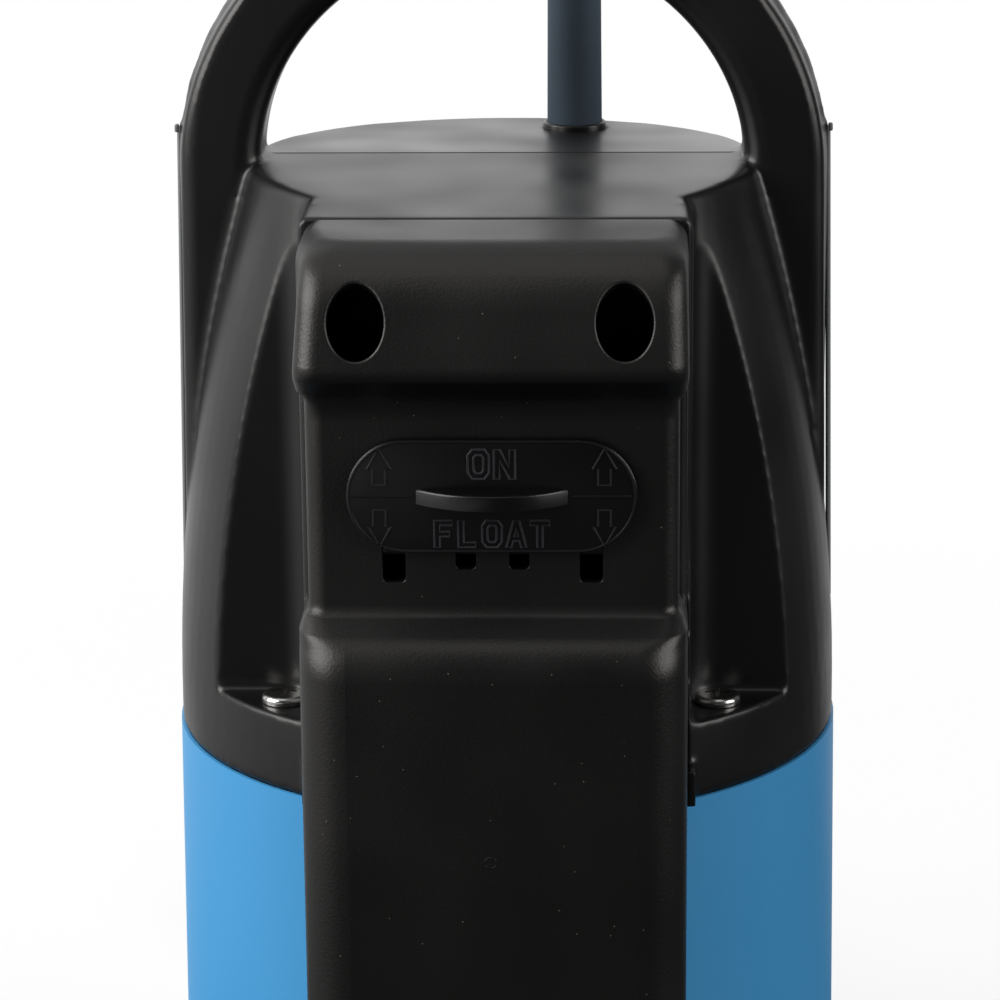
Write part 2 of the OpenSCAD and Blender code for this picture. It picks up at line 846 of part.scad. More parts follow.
module float_rod() color(steel)
    translate([0, -rod_y, rod_low + fit_gap]) cylinder(r = rod_r, h = rod_high - rod_low - 2 * fit_gap);

// Float

module float() color(pale)
    difference() {
        translate([0, 0, float_z]) linear_extrude(float_h)
            round_rect(-float_w / 2, -float_back - float_d, float_w / 2, -float_back, float_round);
        translate([0, -rod_y, 0]) cylinder(r = rod_r + move_gap, h = deck_z);
        span([-magnet_w / 2, -float_back - magnet_t, magnet_z],
            [magnet_w / 2, -float_back + 1, magnet_z + magnet_h]);
    }

module float_magnet() color(iron)
    span([-magnet_w / 2 + slip_gap, -float_back - magnet_t + slip_gap, magnet_z + slip_gap],
        [magnet_w / 2 - slip_gap, -float_back, magnet_z + magnet_h - slip_gap]);

// Mode slider

module mode_slider() color(black) {
    grip_arc = (grip_w * grip_w / 4 + grip_out * grip_out) / (2 * grip_out);
    grip_front = slider_back + slider_t + grip_out;
    union() {
        upright(-slider_back - slider_t, -slider_back)
            round_rect(-slider_w / 2, plate_low, slider_w / 2, plate_low + slider_h, slider_h / 2 - eps);
        translate([0, -grip_front, slider_z - grip_h / 2]) linear_extrude(grip_h) intersection() {
            translate([0, grip_arc]) circle(grip_arc);
            translate([-grip_w, -1]) square([2 * grip_w, grip_out + 1 + slider_t / 2]);
        }
        for (l = legs) span([l[0] - l[1], -slider_back - slider_t / 2, l[2]], [l[0] + l[1], -leg_end, l[3]]);
    }
}

// Plate behind the panel that the slider's legs snap into
module slider_keeper() color(black)
    difference() {
        span([-outer_slots / 2 - keeper_margin, -keeper_front, legs[0][2] - keeper_drop],
            [outer_slots / 2 + keeper_margin, -keeper_front + keeper_t, keeper_high]);
        for (l = legs) span([l[0] - l[1] - slip_gap, -keeper_front - 1, l[2] - slip_gap],
            [l[0] + l[1] + slip_gap, -keeper_front + keeper_t + 1, l[3] + slip_gap]);
    }

module slider_magnet() color(iron)
    translate([-outer_slots / 4, -keeper_front + keeper_t, slider_z - slider_magnet_h])
        span([-slider_magnet_w / 2, 0, 0], [slider_magnet_w / 2, slider_magnet_t, slider_magnet_h]);

// Pump

// The volute's spiral, grown by d: it widens clockwise, seen from above, from the tongue at -X
function spiral(d) = [for (a = [0 : 10 : 360])
    (volute_r0 + volute_growth * a / 360 + d) * [cos(180 - a), sin(180 - a)]];

module volute_casing() color(cast_black)
    difference() {
        union() {
            translate([0, 0, post_top]) linear_extrude(foot_h - post_top) polygon(spiral(volute_wall));
            translate([duct_x, 0, duct_z]) rotate([-90, 0, 0]) cylinder(r = duct_r + duct_wall, h = duct_end);
        }
        translate([0, 0, post_top + volute_wall]) linear_extrude(foot_h) polygon(spiral(0));
        translate([0, 0, post_top - 1]) cylinder(r = eye_r, h = volute_wall + 2);
        translate([duct_x, 0, duct_z]) rotate([-90, 0, 0]) cylinder(r = duct_r, h = duct_end + 1);
    }

// One vane: a slice of a ring that leans back from the hub to the rim
module vane() {
    lean = impeller_r * 0.62;
    intersection() {
        difference() {
            circle(impeller_r);
            circle(shaft_r + hub_wall - 0.5);
        }
        translate([lean / 2, lean * 0.78]) difference() {
            circle(lean + vane_half);
            circle(lean - vane_half);
        }
        translate([0, -impeller_r]) square([impeller_r, impeller_r * 1.28]);
    }
}

module impeller() color(pale)
    difference() {
        union() {
            translate([0, 0, impeller_z]) linear_extrude(shroud_z - impeller_z)
                for (i = [0 : vanes - 1]) rotate([0, 0, 360 * i / vanes]) vane();
            translate([0, 0, shroud_z - eps]) cylinder(r = impeller_r, h = shroud_t);
            translate([0, 0, impeller_z]) cylinder(r = shaft_r + hub_wall, h = impeller_top - impeller_z);
        }
        translate([0, 0, impeller_z - 1]) cylinder(r = stub_r + fit_gap, h = foot_h);
    }

module impeller_nut() color(steel)
    translate([0, 0, impeller_z - nut_h]) difference() {
        cylinder(r = stub_r + nut_flat, h = nut_h, $fn = 6);
        translate([0, 0, -1]) cylinder(r = stub_r + fit_gap, h = nut_h + 2);
    }

// Discharge elbow on a union nut

// The elbow's run of radius r: along +Y, round the bend and up
module elbow_run(r) {
    translate([0, collar_y, duct_z]) rotate([-90, 0, 0])
        cylinder(r = r, h = elbow_y - elbow_bend - collar_y);
    translate([0, elbow_y - elbow_bend, duct_z + elbow_bend]) rotate([0, 90, 0]) rotate_extrude(angle = 90)
        translate([elbow_bend, 0]) circle(r);
    translate([0, elbow_y, riser_z]) cylinder(r = r, h = socket_z - riser_z + eps);
}

module discharge_elbow() color(cast_black)
    translate([duct_x, 0, 0]) difference() {
        union() {
            elbow_run(elbow_out);
            translate([0, collar_y, duct_z]) rotate([-90, 0, 0])
                cylinder(r = duct_r + duct_wall - slip_gap, h = collar_t);
            translate([0, elbow_y, socket_z - socket_cone])
                cylinder(r1 = elbow_out, r2 = outlet_r + socket_wall, h = socket_cone);
            translate([0, elbow_y, socket_z]) cylinder(r = outlet_r + socket_wall, h = outlet_z - socket_z);
        }
        translate([0, -1, 0]) elbow_run(duct_r);
        elbow_run(duct_r);
        translate([0, elbow_y, socket_z - eps])
            cylinder(r1 = duct_r, r2 = outlet_r, h = socket_step + 2 * eps);
        translate([0, elbow_y, socket_z + socket_step]) cylinder(r = outlet_r, h = outlet_len + 1);
    }

module elbow_gasket() color(rubber)
    translate([duct_x, duct_end, duct_z]) rotate([-90, 0, 0])
        tube(duct_r + duct_wall - slip_gap, duct_r, gasket_t);

module elbow_nut() color(cast_black) {
    back = collar_y + collar_t;
    front = back - collar_t - nut_grip;
    nut_out = duct_r + duct_wall + nut_wall;
    nut_long = nut_grip + collar_t + nut_lip;
    translate([duct_x, 0, duct_z]) rotate([-90, 0, 0]) difference() {
        union() {
            translate([0, 0, front]) cylinder(r = nut_out, h = nut_long);
            for (turn = [0 : 45 : 315]) rotate([0, 0, turn]) translate([nut_out - nut_rib_sink, 0, front])
                cylinder(r = nut_rib_r, h = nut_long);
        }
        cylinder(r = duct_r + duct_wall + slip_gap, h = back + slip_gap);
        cylinder(r = elbow_out + slip_gap, h = back + nut_lip + 1);
    }
}

// Motor

module seal_plate() color(iron)
    difference() {
        union() {
            translate([0, 0, foot_h]) linear_extrude(plate_t)
                plan(jacket_low_r - wall - jacket_flare - 0.3, 0.1);
            translate([0, 0, plate_z - eps]) cylinder(r = bearing_r + bearing_wall, h = hub_top - plate_z);
            translate([0, 0, plate_z - eps]) cylinder(r = can_r - slip_gap, h = 3);
        }
        channel(wall + 0.4, foot_h - 1, plate_z + 10);
        translate([0, 0, foot_h - 1]) cylinder(r = seal_r + fit_gap, h = plate_t + 5 - 2);
        translate([0, 0, foot_h - 1]) cylinder(r = shaft_r + shaft_room, h = 3 * plate_t);
        translate([0, 0, plate_z + bearing_seat]) cylinder(r = bearing_r + fit_gap, h = bearing_h + 1);
        at_base_screws() translate([0, 0, foot_h - 1]) cylinder(r = screw_r + seat_gap, h = plate_t + 2);
    }

module shaft_seal() color(rubber)
    translate([0, 0, foot_h]) tube(seal_r, shaft_r + fit_gap, plate_t + 2);

// A ball bearing with its two grooved side faces
module bearing() {
    mid = (shaft_r + bearing_r) / 2;
    half = 2.2;
    sink = 1.2;
    difference() {
        tube(bearing_r, shaft_r + fit_gap, bearing_h);
        for (z = [-1, bearing_h - sink]) translate([0, 0, z]) tube(mid + half, mid - half, sink + 1);
    }
}

module lower_bearing() color(steel) translate([0, 0, plate_z + bearing_seat]) bearing();

module upper_bearing() color(steel) translate([0, 0, bracket_z + bracket_seat]) bearing();

module upper_bracket() color(iron)
    translate([0, 0, bracket_z]) difference() {
        union() {
            cylinder(r = can_r - slip_gap, h = bracket_web);
            cylinder(r = bearing_r + bearing_wall, h = bracket_h);
            tube(can_r - slip_gap, can_r - 3, bracket_h);
        }
        translate([0, 0, bracket_seat]) cylinder(r = bearing_r + fit_gap, h = bearing_h);
        translate([0, 0, -1]) cylinder(r = shaft_r + shaft_room, h = bearing_h + 5);
        for (turn = [0 : 60 : 300]) rotate([0, 0, turn]) translate([(bearing_r + can_r) / 2, 0, -1])
            cylinder(r = bracket_hole_r, h = 2 * bracket_web);
    }

module motor_can() color(steel)
    difference() {
        translate([0, 0, plate_z]) cylinder(r = can_r + can_wall, h = can_top - plate_z);
        translate([0, 0, plate_z - 1]) cylinder(r = can_r, h = can_top - plate_z - can_wall + 1);
        translate([lead_hole_x, 0, can_top - 5]) cylinder(r = lead_hole_r, h = 10);
    }

module stator_core() color(iron)
    translate([0, 0, stack_z]) linear_extrude(stack_h) difference() {
        circle(can_r - fit_gap);
        circle(stator_in);
        for (i = [0 : stator_slots - 1]) rotate(360 * i / stator_slots)
            translate([winding_in, -stator_slot_w / 2])
                square([winding_out - winding_in - stator_back, stator_slot_w]);
    }

// An end winding: a round-edged ring of wire
module winding() {
    rotate_extrude() round_rect(winding_in, seat_gap, winding_out, winding_h - 2 * seat_gap, winding_round);
}

module lower_winding() color(copper) translate([0, 0, stack_z - winding_h]) winding();

module upper_winding() color(copper) translate([0, 0, stack_z + stack_h]) winding();

module motor_shaft() color(steel) {
    translate([0, 0, shaft_low]) cylinder(r = stub_r, h = impeller_top - shaft_low + eps);
    translate([0, 0, impeller_top]) cylinder(r = shaft_r, h = shaft_high - impeller_top);
}

module rotor_core() color(iron)
    translate([0, 0, stack_z]) tube(rotor_r, shaft_r + fit_gap, stack_h);

module rotor_cage() color(aluminium)
    for (z = [stack_z - cage_h, stack_z + stack_h]) translate([0, 0, z])
        tube(rotor_r - 1, rotor_r - 1 - cage_w, cage_h);

// Electrical pieces in the head

module capacitor() color(case_grey) {
    edge = 1.5;
    tab = [0.8, 6, 7];
    tab_x = 6;
    translate([cap_x, cap_y, can_top]) {
        rotate_extrude() polygon(rounded([[0, 0, 0], [capacitor_r, 0, edge],
            [capacitor_r, capacitor_h, edge], [0, capacitor_h, 0]]));
        for (side = [-1, 1]) translate([side * tab_x, 0, capacitor_h - eps])
            span([-tab[0] / 2, -tab[1] / 2, 0], [tab[0] / 2, tab[1] / 2, tab[2]]);
    }
}

module capacitor_clip() color(steel) {
    sheet = 1.2;
    bore = capacitor_r + slip_gap;
    band = [14, 24];
    half = 6;
    tab = 8;
    translate([cap_x, cap_y, can_top]) {
        translate([0, 0, band[0]]) tube(bore + sheet, bore, band[1] - band[0]);
        span([-half, bore + seat_gap, 0], [half, bore + seat_gap + sheet, band[1]]);
        span([-half, bore + seat_gap, 0], [half, capacitor_r + tab, sheet]);
    }
}

module terminal_block() color(pale) {
    well = 6;
    clamp_r = 2.5;
    translate([block_x - block_w / 2, block_y - block_d / 2, can_top]) difference() {
        cube([block_w, block_d, block_h]);
        for (i = [0 : 2]) translate([block_w * (i + 0.5) / 3, block_d / 2, block_h - well])
            cylinder(r = clamp_r, h = well + 1);
    }
}

// The reed switches' box on the flat wall, with the thin strip that reaches down to the float's magnet
module switch_module() color(board_green) {
    span([-switch_half, -switch_back, switch_z], [switch_half, -switch_back + switch_d, switch_z + switch_h]);
    span([-reed_half, -switch_back, magnet_z + float_travel - reed_over],
        [reed_half, -switch_back + reed_t, switch_z + 1]);
}

// Cord entry

module strain_relief() color(rubber)
    translate([gland_x, gland_y, 0]) rotate_extrude() polygon([[0, gland_low], [relief_flange, gland_low],
        [relief_flange, gland_boss_z], [relief_r, gland_boss_z], [relief_r, deck_z],
        [relief_r - relief_taper, relief_top - relief_tip], [cord_r + relief_lip, relief_top],
        [0, relief_top]]);

// Cap nut that holds the relief's flange against the deck's boss
module cord_gland() color(cast_black)
    translate([gland_x, gland_y, gland_low - gland_cap]) difference() {
        cylinder(r = gland_boss_r + gland_wall, h = gland_cap + flange_t + 4, $fn = 12);
        translate([0, 0, gland_cap]) cylinder(r = gland_boss_r + slip_gap, h = 12);
        translate([0, 0, -1]) cylinder(r = cord_r + move_gap, h = 8);
    }

// Swept tubes

// Direction of the path at each of its points
function path_dirs(p) = [for (i = [0 : len(p) - 1]) unit(p[min(i + 1, len(p) - 1)] - p[max(i - 1, 0)])];

// Side vectors that turn as little as possible along the path
function path_sides(dirs, first) =
    [for (i = 0, s = unit(first - (first * dirs[0]) * dirs[0]); i < len(dirs);
        i = i + 1, s = i < len(dirs) ? unit(s - (s * dirs[i]) * dirs[i]) : s) s];

// A closed tube of n sides along the points p
module sweep(p, r, n, first = [1, 0, 0]) {
    dirs = path_dirs(p);
    sides = path_sides(dirs, first);
    m = len(p);
    points = [for (i = [0 : m - 1], k = [0 : n - 1])
        p[i] + r * (cos(360 * k / n) * sides[i] + sin(360 * k / n) * cross(dirs[i], sides[i]))];
    walls = [for (i = [0 : m - 2], k = [0 : n - 1]) let (a = i * n + k, b = i * n + (k + 1) % n)
        each [[a, a + n, b], [b, a + n, b + n]]];
    caps = [for (k = [1 : n - 2]) each [[0, k, k + 1], [(m - 1) * n, (m - 1) * n + k + 1, (m - 1) * n + k]]];
    polyhedron(points, concat(walls, caps));
}

module power_cord() color(cord_black) sweep(cord_route, cord_r, 8);

// The coil starts where the route ends, runs straight for one diameter and winds clockwise, seen from above:
// in on the lower layer, up half a turn, out on the upper layer and straight to the plug

function coil_radius(t) = t < coil_turns ? coil_r - coil_pitch * t
    : t < coil_turns + coil_climb ? coil_inner - coil_dip * sin(180 * (t - coil_turns) / coil_climb)
    : coil_inner + coil_pitch * (t - coil_turns - coil_climb);
function coil_height(t) = coil_low + coil_pitch * min(max((t - coil_turns) / coil_climb, 0), 1);
function coil_point(t) = let (r = coil_radius(t), a = -90 - 360 * t)
    [coil_x + r * cos(a), coil_y + r * sin(a), coil_height(t)];

module cord_coil() color(cord_black) sweep(coil_path, cord_r, 6, [0, 0, 1]);

// A flat band round the turns at the coil's left side
module cord_tie() color(rubber) {
    band = 0.7;
    slack = 0.3;
    low_out = coil_radius(0.25) + cord_r + 2 * slack;
    high_out = low_out - coil_pitch;
    inner = coil_inner - coil_dip - cord_r - 4 * slack;
    top = coil_low + coil_pitch + cord_r + slack;
    bottom = coil_low - cord_r - slack;
    step = coil_low + cord_r + slack;
    translate([coil_x, 0, 0]) upright(coil_y - tie_w / 2, coil_y + tie_w / 2) difference() {
        polygon([[-low_out - band, bottom - band], [-inner + band, bottom - band],
            [-inner + band, top + band], [-high_out - band, top + band], [-low_out - band, step + slack]]);
        polygon([[-low_out, bottom], [-inner, bottom], [-inner, top], [-high_out, top], [-low_out, step]]);
    }
}

// Plug on the floor, its cord end towards +Y

module plug() color(rubber)
    translate(plug_tail) rotate([90, 0, 0]) {
        cylinder(r1 = cord_r + tail_wall, r2 = cord_r + 2 * tail_wall, h = tail_len);
        translate([0, 0, tail_len - eps]) rotate_extrude() polygon(rounded([[0, 0, 0],
            [plug_r - plug_lean, 0, 2], [plug_r, plug_waist, 3], [plug_r, plug_len - tail_len, 2],
            [0, plug_len - tail_len, 0]]));
    }

module plug_blades() color(brass)
    translate(plug_tail - [0, plug_len, 0]) {
        for (side = [-1, 1]) translate([side * blade[0], 0, 0])
            span([-blade[1], -blade[3], -blade[2]], [blade[1], 0, blade[2]]);
        translate([0, 0, -pin[0]]) rotate([90, 0, 0]) cylinder(r = pin[1], h = pin[2]);
    }

// Wires in the head, from the gland to the terminal block and on to the can and the switch module

module inner_leads() color(lead_brown) {
    top = can_top + block_h;
    wall_y = -switch_back + switch_d;
    sweep([[gland_x, gland_y, gland_low], [gland_x, gland_y, gland_low - 14],
        [block_x, gland_y - 6, gland_low - 36], [block_x, block_y + 4, top + 16],
        [block_x, block_y, top + 6], [block_x, block_y, top]], lead_r, 8);
    sweep([[block_x + lead_step, block_y, top], [block_x + lead_step, block_y, top + 8],
        [block_x + 12, block_y - 8, top + 10], [lead_hole_x + 5, 0, top + 2],
        [lead_hole_x, 0, can_top + 6], [lead_hole_x, 0, can_top - 2]], lead_r, 8);
    sweep([[block_x - lead_step, block_y, top], [block_x - lead_step, block_y, top + 8],
        [8, block_y - 14, top + 16], [6, wall_y + 14, top + 14], [6, wall_y + 5, top + 13],
        [6, wall_y, top + 13]], lead_r, 8);
}

head_cover();
motor_jacket();
strainer_foot();
head_gasket();
base_gasket();
head_screws();
base_screws();
float_cover();
float_rod();
seal_plate();
shaft_seal();
lower_bearing();
upper_bearing();
upper_bracket();
motor_can();
stator_core();
lower_winding();
upper_winding();
volute_casing();
discharge_elbow();
elbow_nut();
elbow_gasket();
capacitor();
capacitor_clip();
terminal_block();
switch_module();
inner_leads();
cord_gland();
strain_relief();
power_cord();
cord_coil();
cord_tie();
plug();
plug_blades();
motor_shaft();
rotor_core();
rotor_cage();
impeller();
impeller_nut();
float();
float_magnet();
mode_slider();
slider_keeper();
slider_magnet();
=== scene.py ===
"""Looks of a submersible sump pump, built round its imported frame.

The frame carries the pump's rigid pieces. This script adds the camera, the studio and a finish for every
surface, and remakes the head, the float cover, the mode slider, the cord and its tie with their fine forms.
Forms are placed in metres in the frame's own axes. The sizes of Head, Cover, Slider and Tie and the cord's
route are in millimetres.
"""

from __future__ import annotations

import json
import logging
import math
from collections.abc import Sequence
from dataclasses import dataclass, field
from enum import Enum
from typing import Any

import bmesh
import bpy
from mathutils import Matrix, Vector
from mathutils.geometry import delaunay_2d_cdt

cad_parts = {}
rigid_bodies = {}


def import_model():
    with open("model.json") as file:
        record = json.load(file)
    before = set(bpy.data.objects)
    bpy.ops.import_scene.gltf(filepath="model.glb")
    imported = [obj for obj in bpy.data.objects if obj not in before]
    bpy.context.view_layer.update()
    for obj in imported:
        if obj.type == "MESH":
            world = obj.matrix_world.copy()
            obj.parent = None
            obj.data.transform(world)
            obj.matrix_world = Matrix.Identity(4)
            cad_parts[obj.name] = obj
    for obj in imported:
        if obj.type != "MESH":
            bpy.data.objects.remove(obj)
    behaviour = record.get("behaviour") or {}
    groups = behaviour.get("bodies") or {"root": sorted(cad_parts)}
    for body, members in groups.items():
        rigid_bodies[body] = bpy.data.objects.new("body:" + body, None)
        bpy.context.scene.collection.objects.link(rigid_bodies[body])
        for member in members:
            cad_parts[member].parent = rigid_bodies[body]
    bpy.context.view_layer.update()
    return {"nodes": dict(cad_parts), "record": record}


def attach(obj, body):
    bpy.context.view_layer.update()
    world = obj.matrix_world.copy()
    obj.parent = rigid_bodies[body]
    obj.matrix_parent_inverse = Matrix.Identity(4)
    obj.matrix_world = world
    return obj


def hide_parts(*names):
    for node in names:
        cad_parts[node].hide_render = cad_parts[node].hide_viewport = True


LOG = logging.getLogger("pump")
MM = 0.001
PAINTED_HIGHLIGHT = "painted_highlight"
# An edge that bends more than this many degrees stays sharp
CREASE = 38.0
# The values between which a noise pattern mostly stays
NOISE_RANGE = (0.3, 0.7)

Links = dict[Any, bpy.types.NodeSocket]
Point = tuple[float, float]
Triple = tuple[float, float, float]
Quad = tuple[float, float, float, float]


class Body(Enum):
    """The frame's bodies that the pieces made here ride on."""

    HOUSING = "housing"
    SLIDER = "slider"


class Highlight(Enum):
    """How strongly a raised mark is painted paler, a painted highlight, from 0 to 1."""

    LINE = 0.1
    RIM = 0.25
    ARROW = 0.6
    FULL = 1.0


class Slot(Enum):
    """The record's material slots."""

    HEAD = "head_plastic"
    COVER = "cover_plastic"
    SLIDER = "slider_plastic"
    JACKET = "jacket_plastic"
    CASING = "casing_plastic"
    SEAL = "seal_rubber"
    CORD = "cord_rubber"
    TIE = "tie_band"
    STAINLESS = "stainless"
    PLATE = "plate_metal"
    LAMINATION = "lamination"
    COPPER = "winding_copper"
    CAPACITOR = "capacitor_case"
    PALE = "pale_plastic"
    SWITCH = "switch_plastic"
    LEAD = "lead_insulation"
    BRASS = "blade_brass"


def linear(code: str) -> Quad:
    """Turns an sRGB hex colour to linear light.

    Args:
        code: A colour such as "#53a0d6".

    Returns:
        Red, green, blue and an alpha of 1.
    """
    parts = [int(code[i:i + 2], 16) / 255 for i in (1, 3, 5)]
    light = [p / 12.92 if p <= 0.04045 else ((p + 0.055) / 1.055) ** 2.4 for p in parts]
    return light[0], light[1], light[2], 1.0


def add_node(tree: bpy.types.NodeTree, kind: str, settings: dict[Any, Any] | None = None,
             links: Links | None = None) -> bpy.types.Node:
    """Adds a node with its settings and links.

    Args:
        tree: The node tree that gets the node.
        kind: The node's type name.
        settings: Property names, input names or input numbers, with their values.
        links: Input names or numbers, with the sockets that feed them.

    Returns:
        The new node.
    """
    node = tree.nodes.new(kind)
    for key, value in (settings or {}).items():
        if isinstance(key, str) and hasattr(node, key):
            setattr(node, key, value)
        else:
            node.inputs[key].default_value = value
    for key, socket in (links or {}).items():
        tree.links.new(socket, node.inputs[key])
    return node


def per_mm(size: float) -> float:
    """Gives the texture scale at which a pattern repeats about every size millimetres."""
    return 1.0 / (size * MM)


@dataclass(frozen=True)
class Finish:
    """A surface finish, named for the real material."""

    name: str
    colour: str
    roughness: float

    def begin(self) -> tuple[bpy.types.Material, bpy.types.NodeTree, bpy.types.Node, bpy.types.NodeSocket]:
        """Starts the finish's material.

        Returns:
            The material, its node tree, its shader node and the Object coordinates.
        """
        material = bpy.data.materials.new(self.name)
        material.use_nodes = True
        tree = material.node_tree
        tree.nodes.clear()
        shader = add_node(tree, "ShaderNodeBsdfPrincipled",
                          {"Base Color": linear(self.colour), "Roughness": self.roughness})
        add_node(tree, "ShaderNodeOutputMaterial", links={"Surface": shader.outputs["BSDF"]})
        where = add_node(tree, "ShaderNodeTexCoord").outputs["Object"]
        return material, tree, shader, where


@dataclass(frozen=True)
class MouldedPlastic(Finish):
    """Moulded plastic or rubber: an even grain from the tool, slow waves where it shrank, and dust."""

    shade: str = "#000000"
    spread: float = 0.06
    grain_mm: float = 0.45
    grain_depth_mm: float = 0.01
    wave_mm: float = 30.0
    wave_depth_mm: float = 0.1
    dust_mm: float = 0.0
    dust: str = "#6e645a"
    # Where a fleck of dust begins to fade and where it ends, in sizes of its cell
    fleck: Point = (0.02, 0.045)
    ior: float = 1.49
    gloss: float = 0.5
    cast: str = "#ffffff"

    def material(self) -> bpy.types.Material:
        """Builds the material.

        Returns:
            The finished material.
        """
        material, tree, shader, where = self.begin()
        shader.inputs["IOR"].default_value = self.ior
        shader.inputs["Specular IOR Level"].default_value = self.gloss
        shader.inputs["Specular Tint"].default_value = linear(self.cast)
        wave = add_node(tree, "ShaderNodeTexNoise", {"Scale": per_mm(self.wave_mm), "Detail": 1.0},
                        {"Vector": where})
        grain = add_node(tree, "ShaderNodeTexNoise", {"Scale": per_mm(self.grain_mm), "Detail": 2.0},
                         {"Vector": where})
        slow = add_node(tree, "ShaderNodeBump", {"Distance": self.wave_depth_mm * MM, "Strength": 1.0},
                        {"Height": wave.outputs[0]})
        fine = add_node(tree, "ShaderNodeBump", {"Distance": self.grain_depth_mm * MM, "Strength": 1.0},
                        {"Height": grain.outputs[0], "Normal": slow.outputs[0]})
        tree.links.new(fine.outputs[0], shader.inputs["Normal"])
        rough = add_node(tree, "ShaderNodeMapRange",
                         {"From Min": NOISE_RANGE[0], "From Max": NOISE_RANGE[1],
                          "To Min": self.roughness - self.spread, "To Max": self.roughness + self.spread},
                         {"Value": wave.outputs[0]})
        tree.links.new(rough.outputs[0], shader.inputs["Roughness"])
        tone = add_node(tree, "ShaderNodeMix", {"data_type": "RGBA", 6: linear(self.colour),
                                                7: linear(self.shade)}, {0: grain.outputs[0]})
        colour = tone.outputs[2]
        if self.dust_mm:
            cells = add_node(tree, "ShaderNodeTexVoronoi", {"Scale": per_mm(self.dust_mm)}, {"Vector": where})
            fleck = add_node(tree, "ShaderNodeMapRange",
                             {"From Min": self.fleck[0], "From Max": self.fleck[1],
                              "To Min": 1.0, "To Max": 0.0},
                             {"Value": cells.outputs["Distance"]})
            dusty = add_node(tree, "ShaderNodeMix", {"data_type": "RGBA", 7: linear(self.dust)},
                             {0: fleck.outputs[0], 6: colour})
            colour = dusty.outputs[2]
        tree.links.new(colour, shader.inputs["Base Color"])
        return material


@dataclass(frozen=True)
class HighlightedPlastic(MouldedPlastic):
    """Moulded plastic whose raised marks are painted paler: a painted highlight."""

    # The paler colour painted on raised marks as a painted highlight
    highlight_colour: str = "#303034"

    def material(self) -> bpy.types.Material:
        """Builds the material.

        Returns:
            The finished material.
        """
        material = super().material()
        tree = material.node_tree
        base = next(n for n in tree.nodes if n.type == "BSDF_PRINCIPLED").inputs["Base Color"]
        # Painted highlight: the paler colour is mixed in where the attribute marks raised lines
        raised = add_node(tree, "ShaderNodeAttribute", {"attribute_name": PAINTED_HIGHLIGHT})
        pale = add_node(tree, "ShaderNodeMix", {"data_type": "RGBA", 7: linear(self.highlight_colour)},
                        {0: raised.outputs["Fac"], 6: base.links[0].from_socket})
        tree.links.new(pale.outputs[2], base)
        return material


@dataclass(frozen=True)
class WorkedMetal(Finish):
    """Bare metal: fine lines or grain from how it was worked."""

    grain_mm: float = 0.4
    grain_depth_mm: float = 0.006
    stretch: Triple = (1.0, 1.0, 1.0)
    spread: float = 0.08

    def material(self) -> bpy.types.Material:
        """Builds the material.

        Returns:
            The finished material.
        """
        material, tree, shader, where = self.begin()
        shader.inputs["Metallic"].default_value = 1.0
        lay = add_node(tree, "ShaderNodeMapping", {"Scale": self.stretch}, {"Vector": where})
        grain = add_node(tree, "ShaderNodeTexNoise", {"Scale": per_mm(self.grain_mm), "Detail": 3.0},
                         {"Vector": lay.outputs[0]})
        rough = add_node(tree, "ShaderNodeMapRange",
                         {"From Min": NOISE_RANGE[0], "From Max": NOISE_RANGE[1],
                          "To Min": self.roughness - self.spread, "To Max": self.roughness + self.spread},
                         {"Value": grain.outputs[0]})
        bump = add_node(tree, "ShaderNodeBump", {"Distance": self.grain_depth_mm * MM},
                        {"Height": grain.outputs[0]})
        tree.links.new(rough.outputs[0], shader.inputs["Roughness"])
        tree.links.new(bump.outputs[0], shader.inputs["Normal"])
        return material


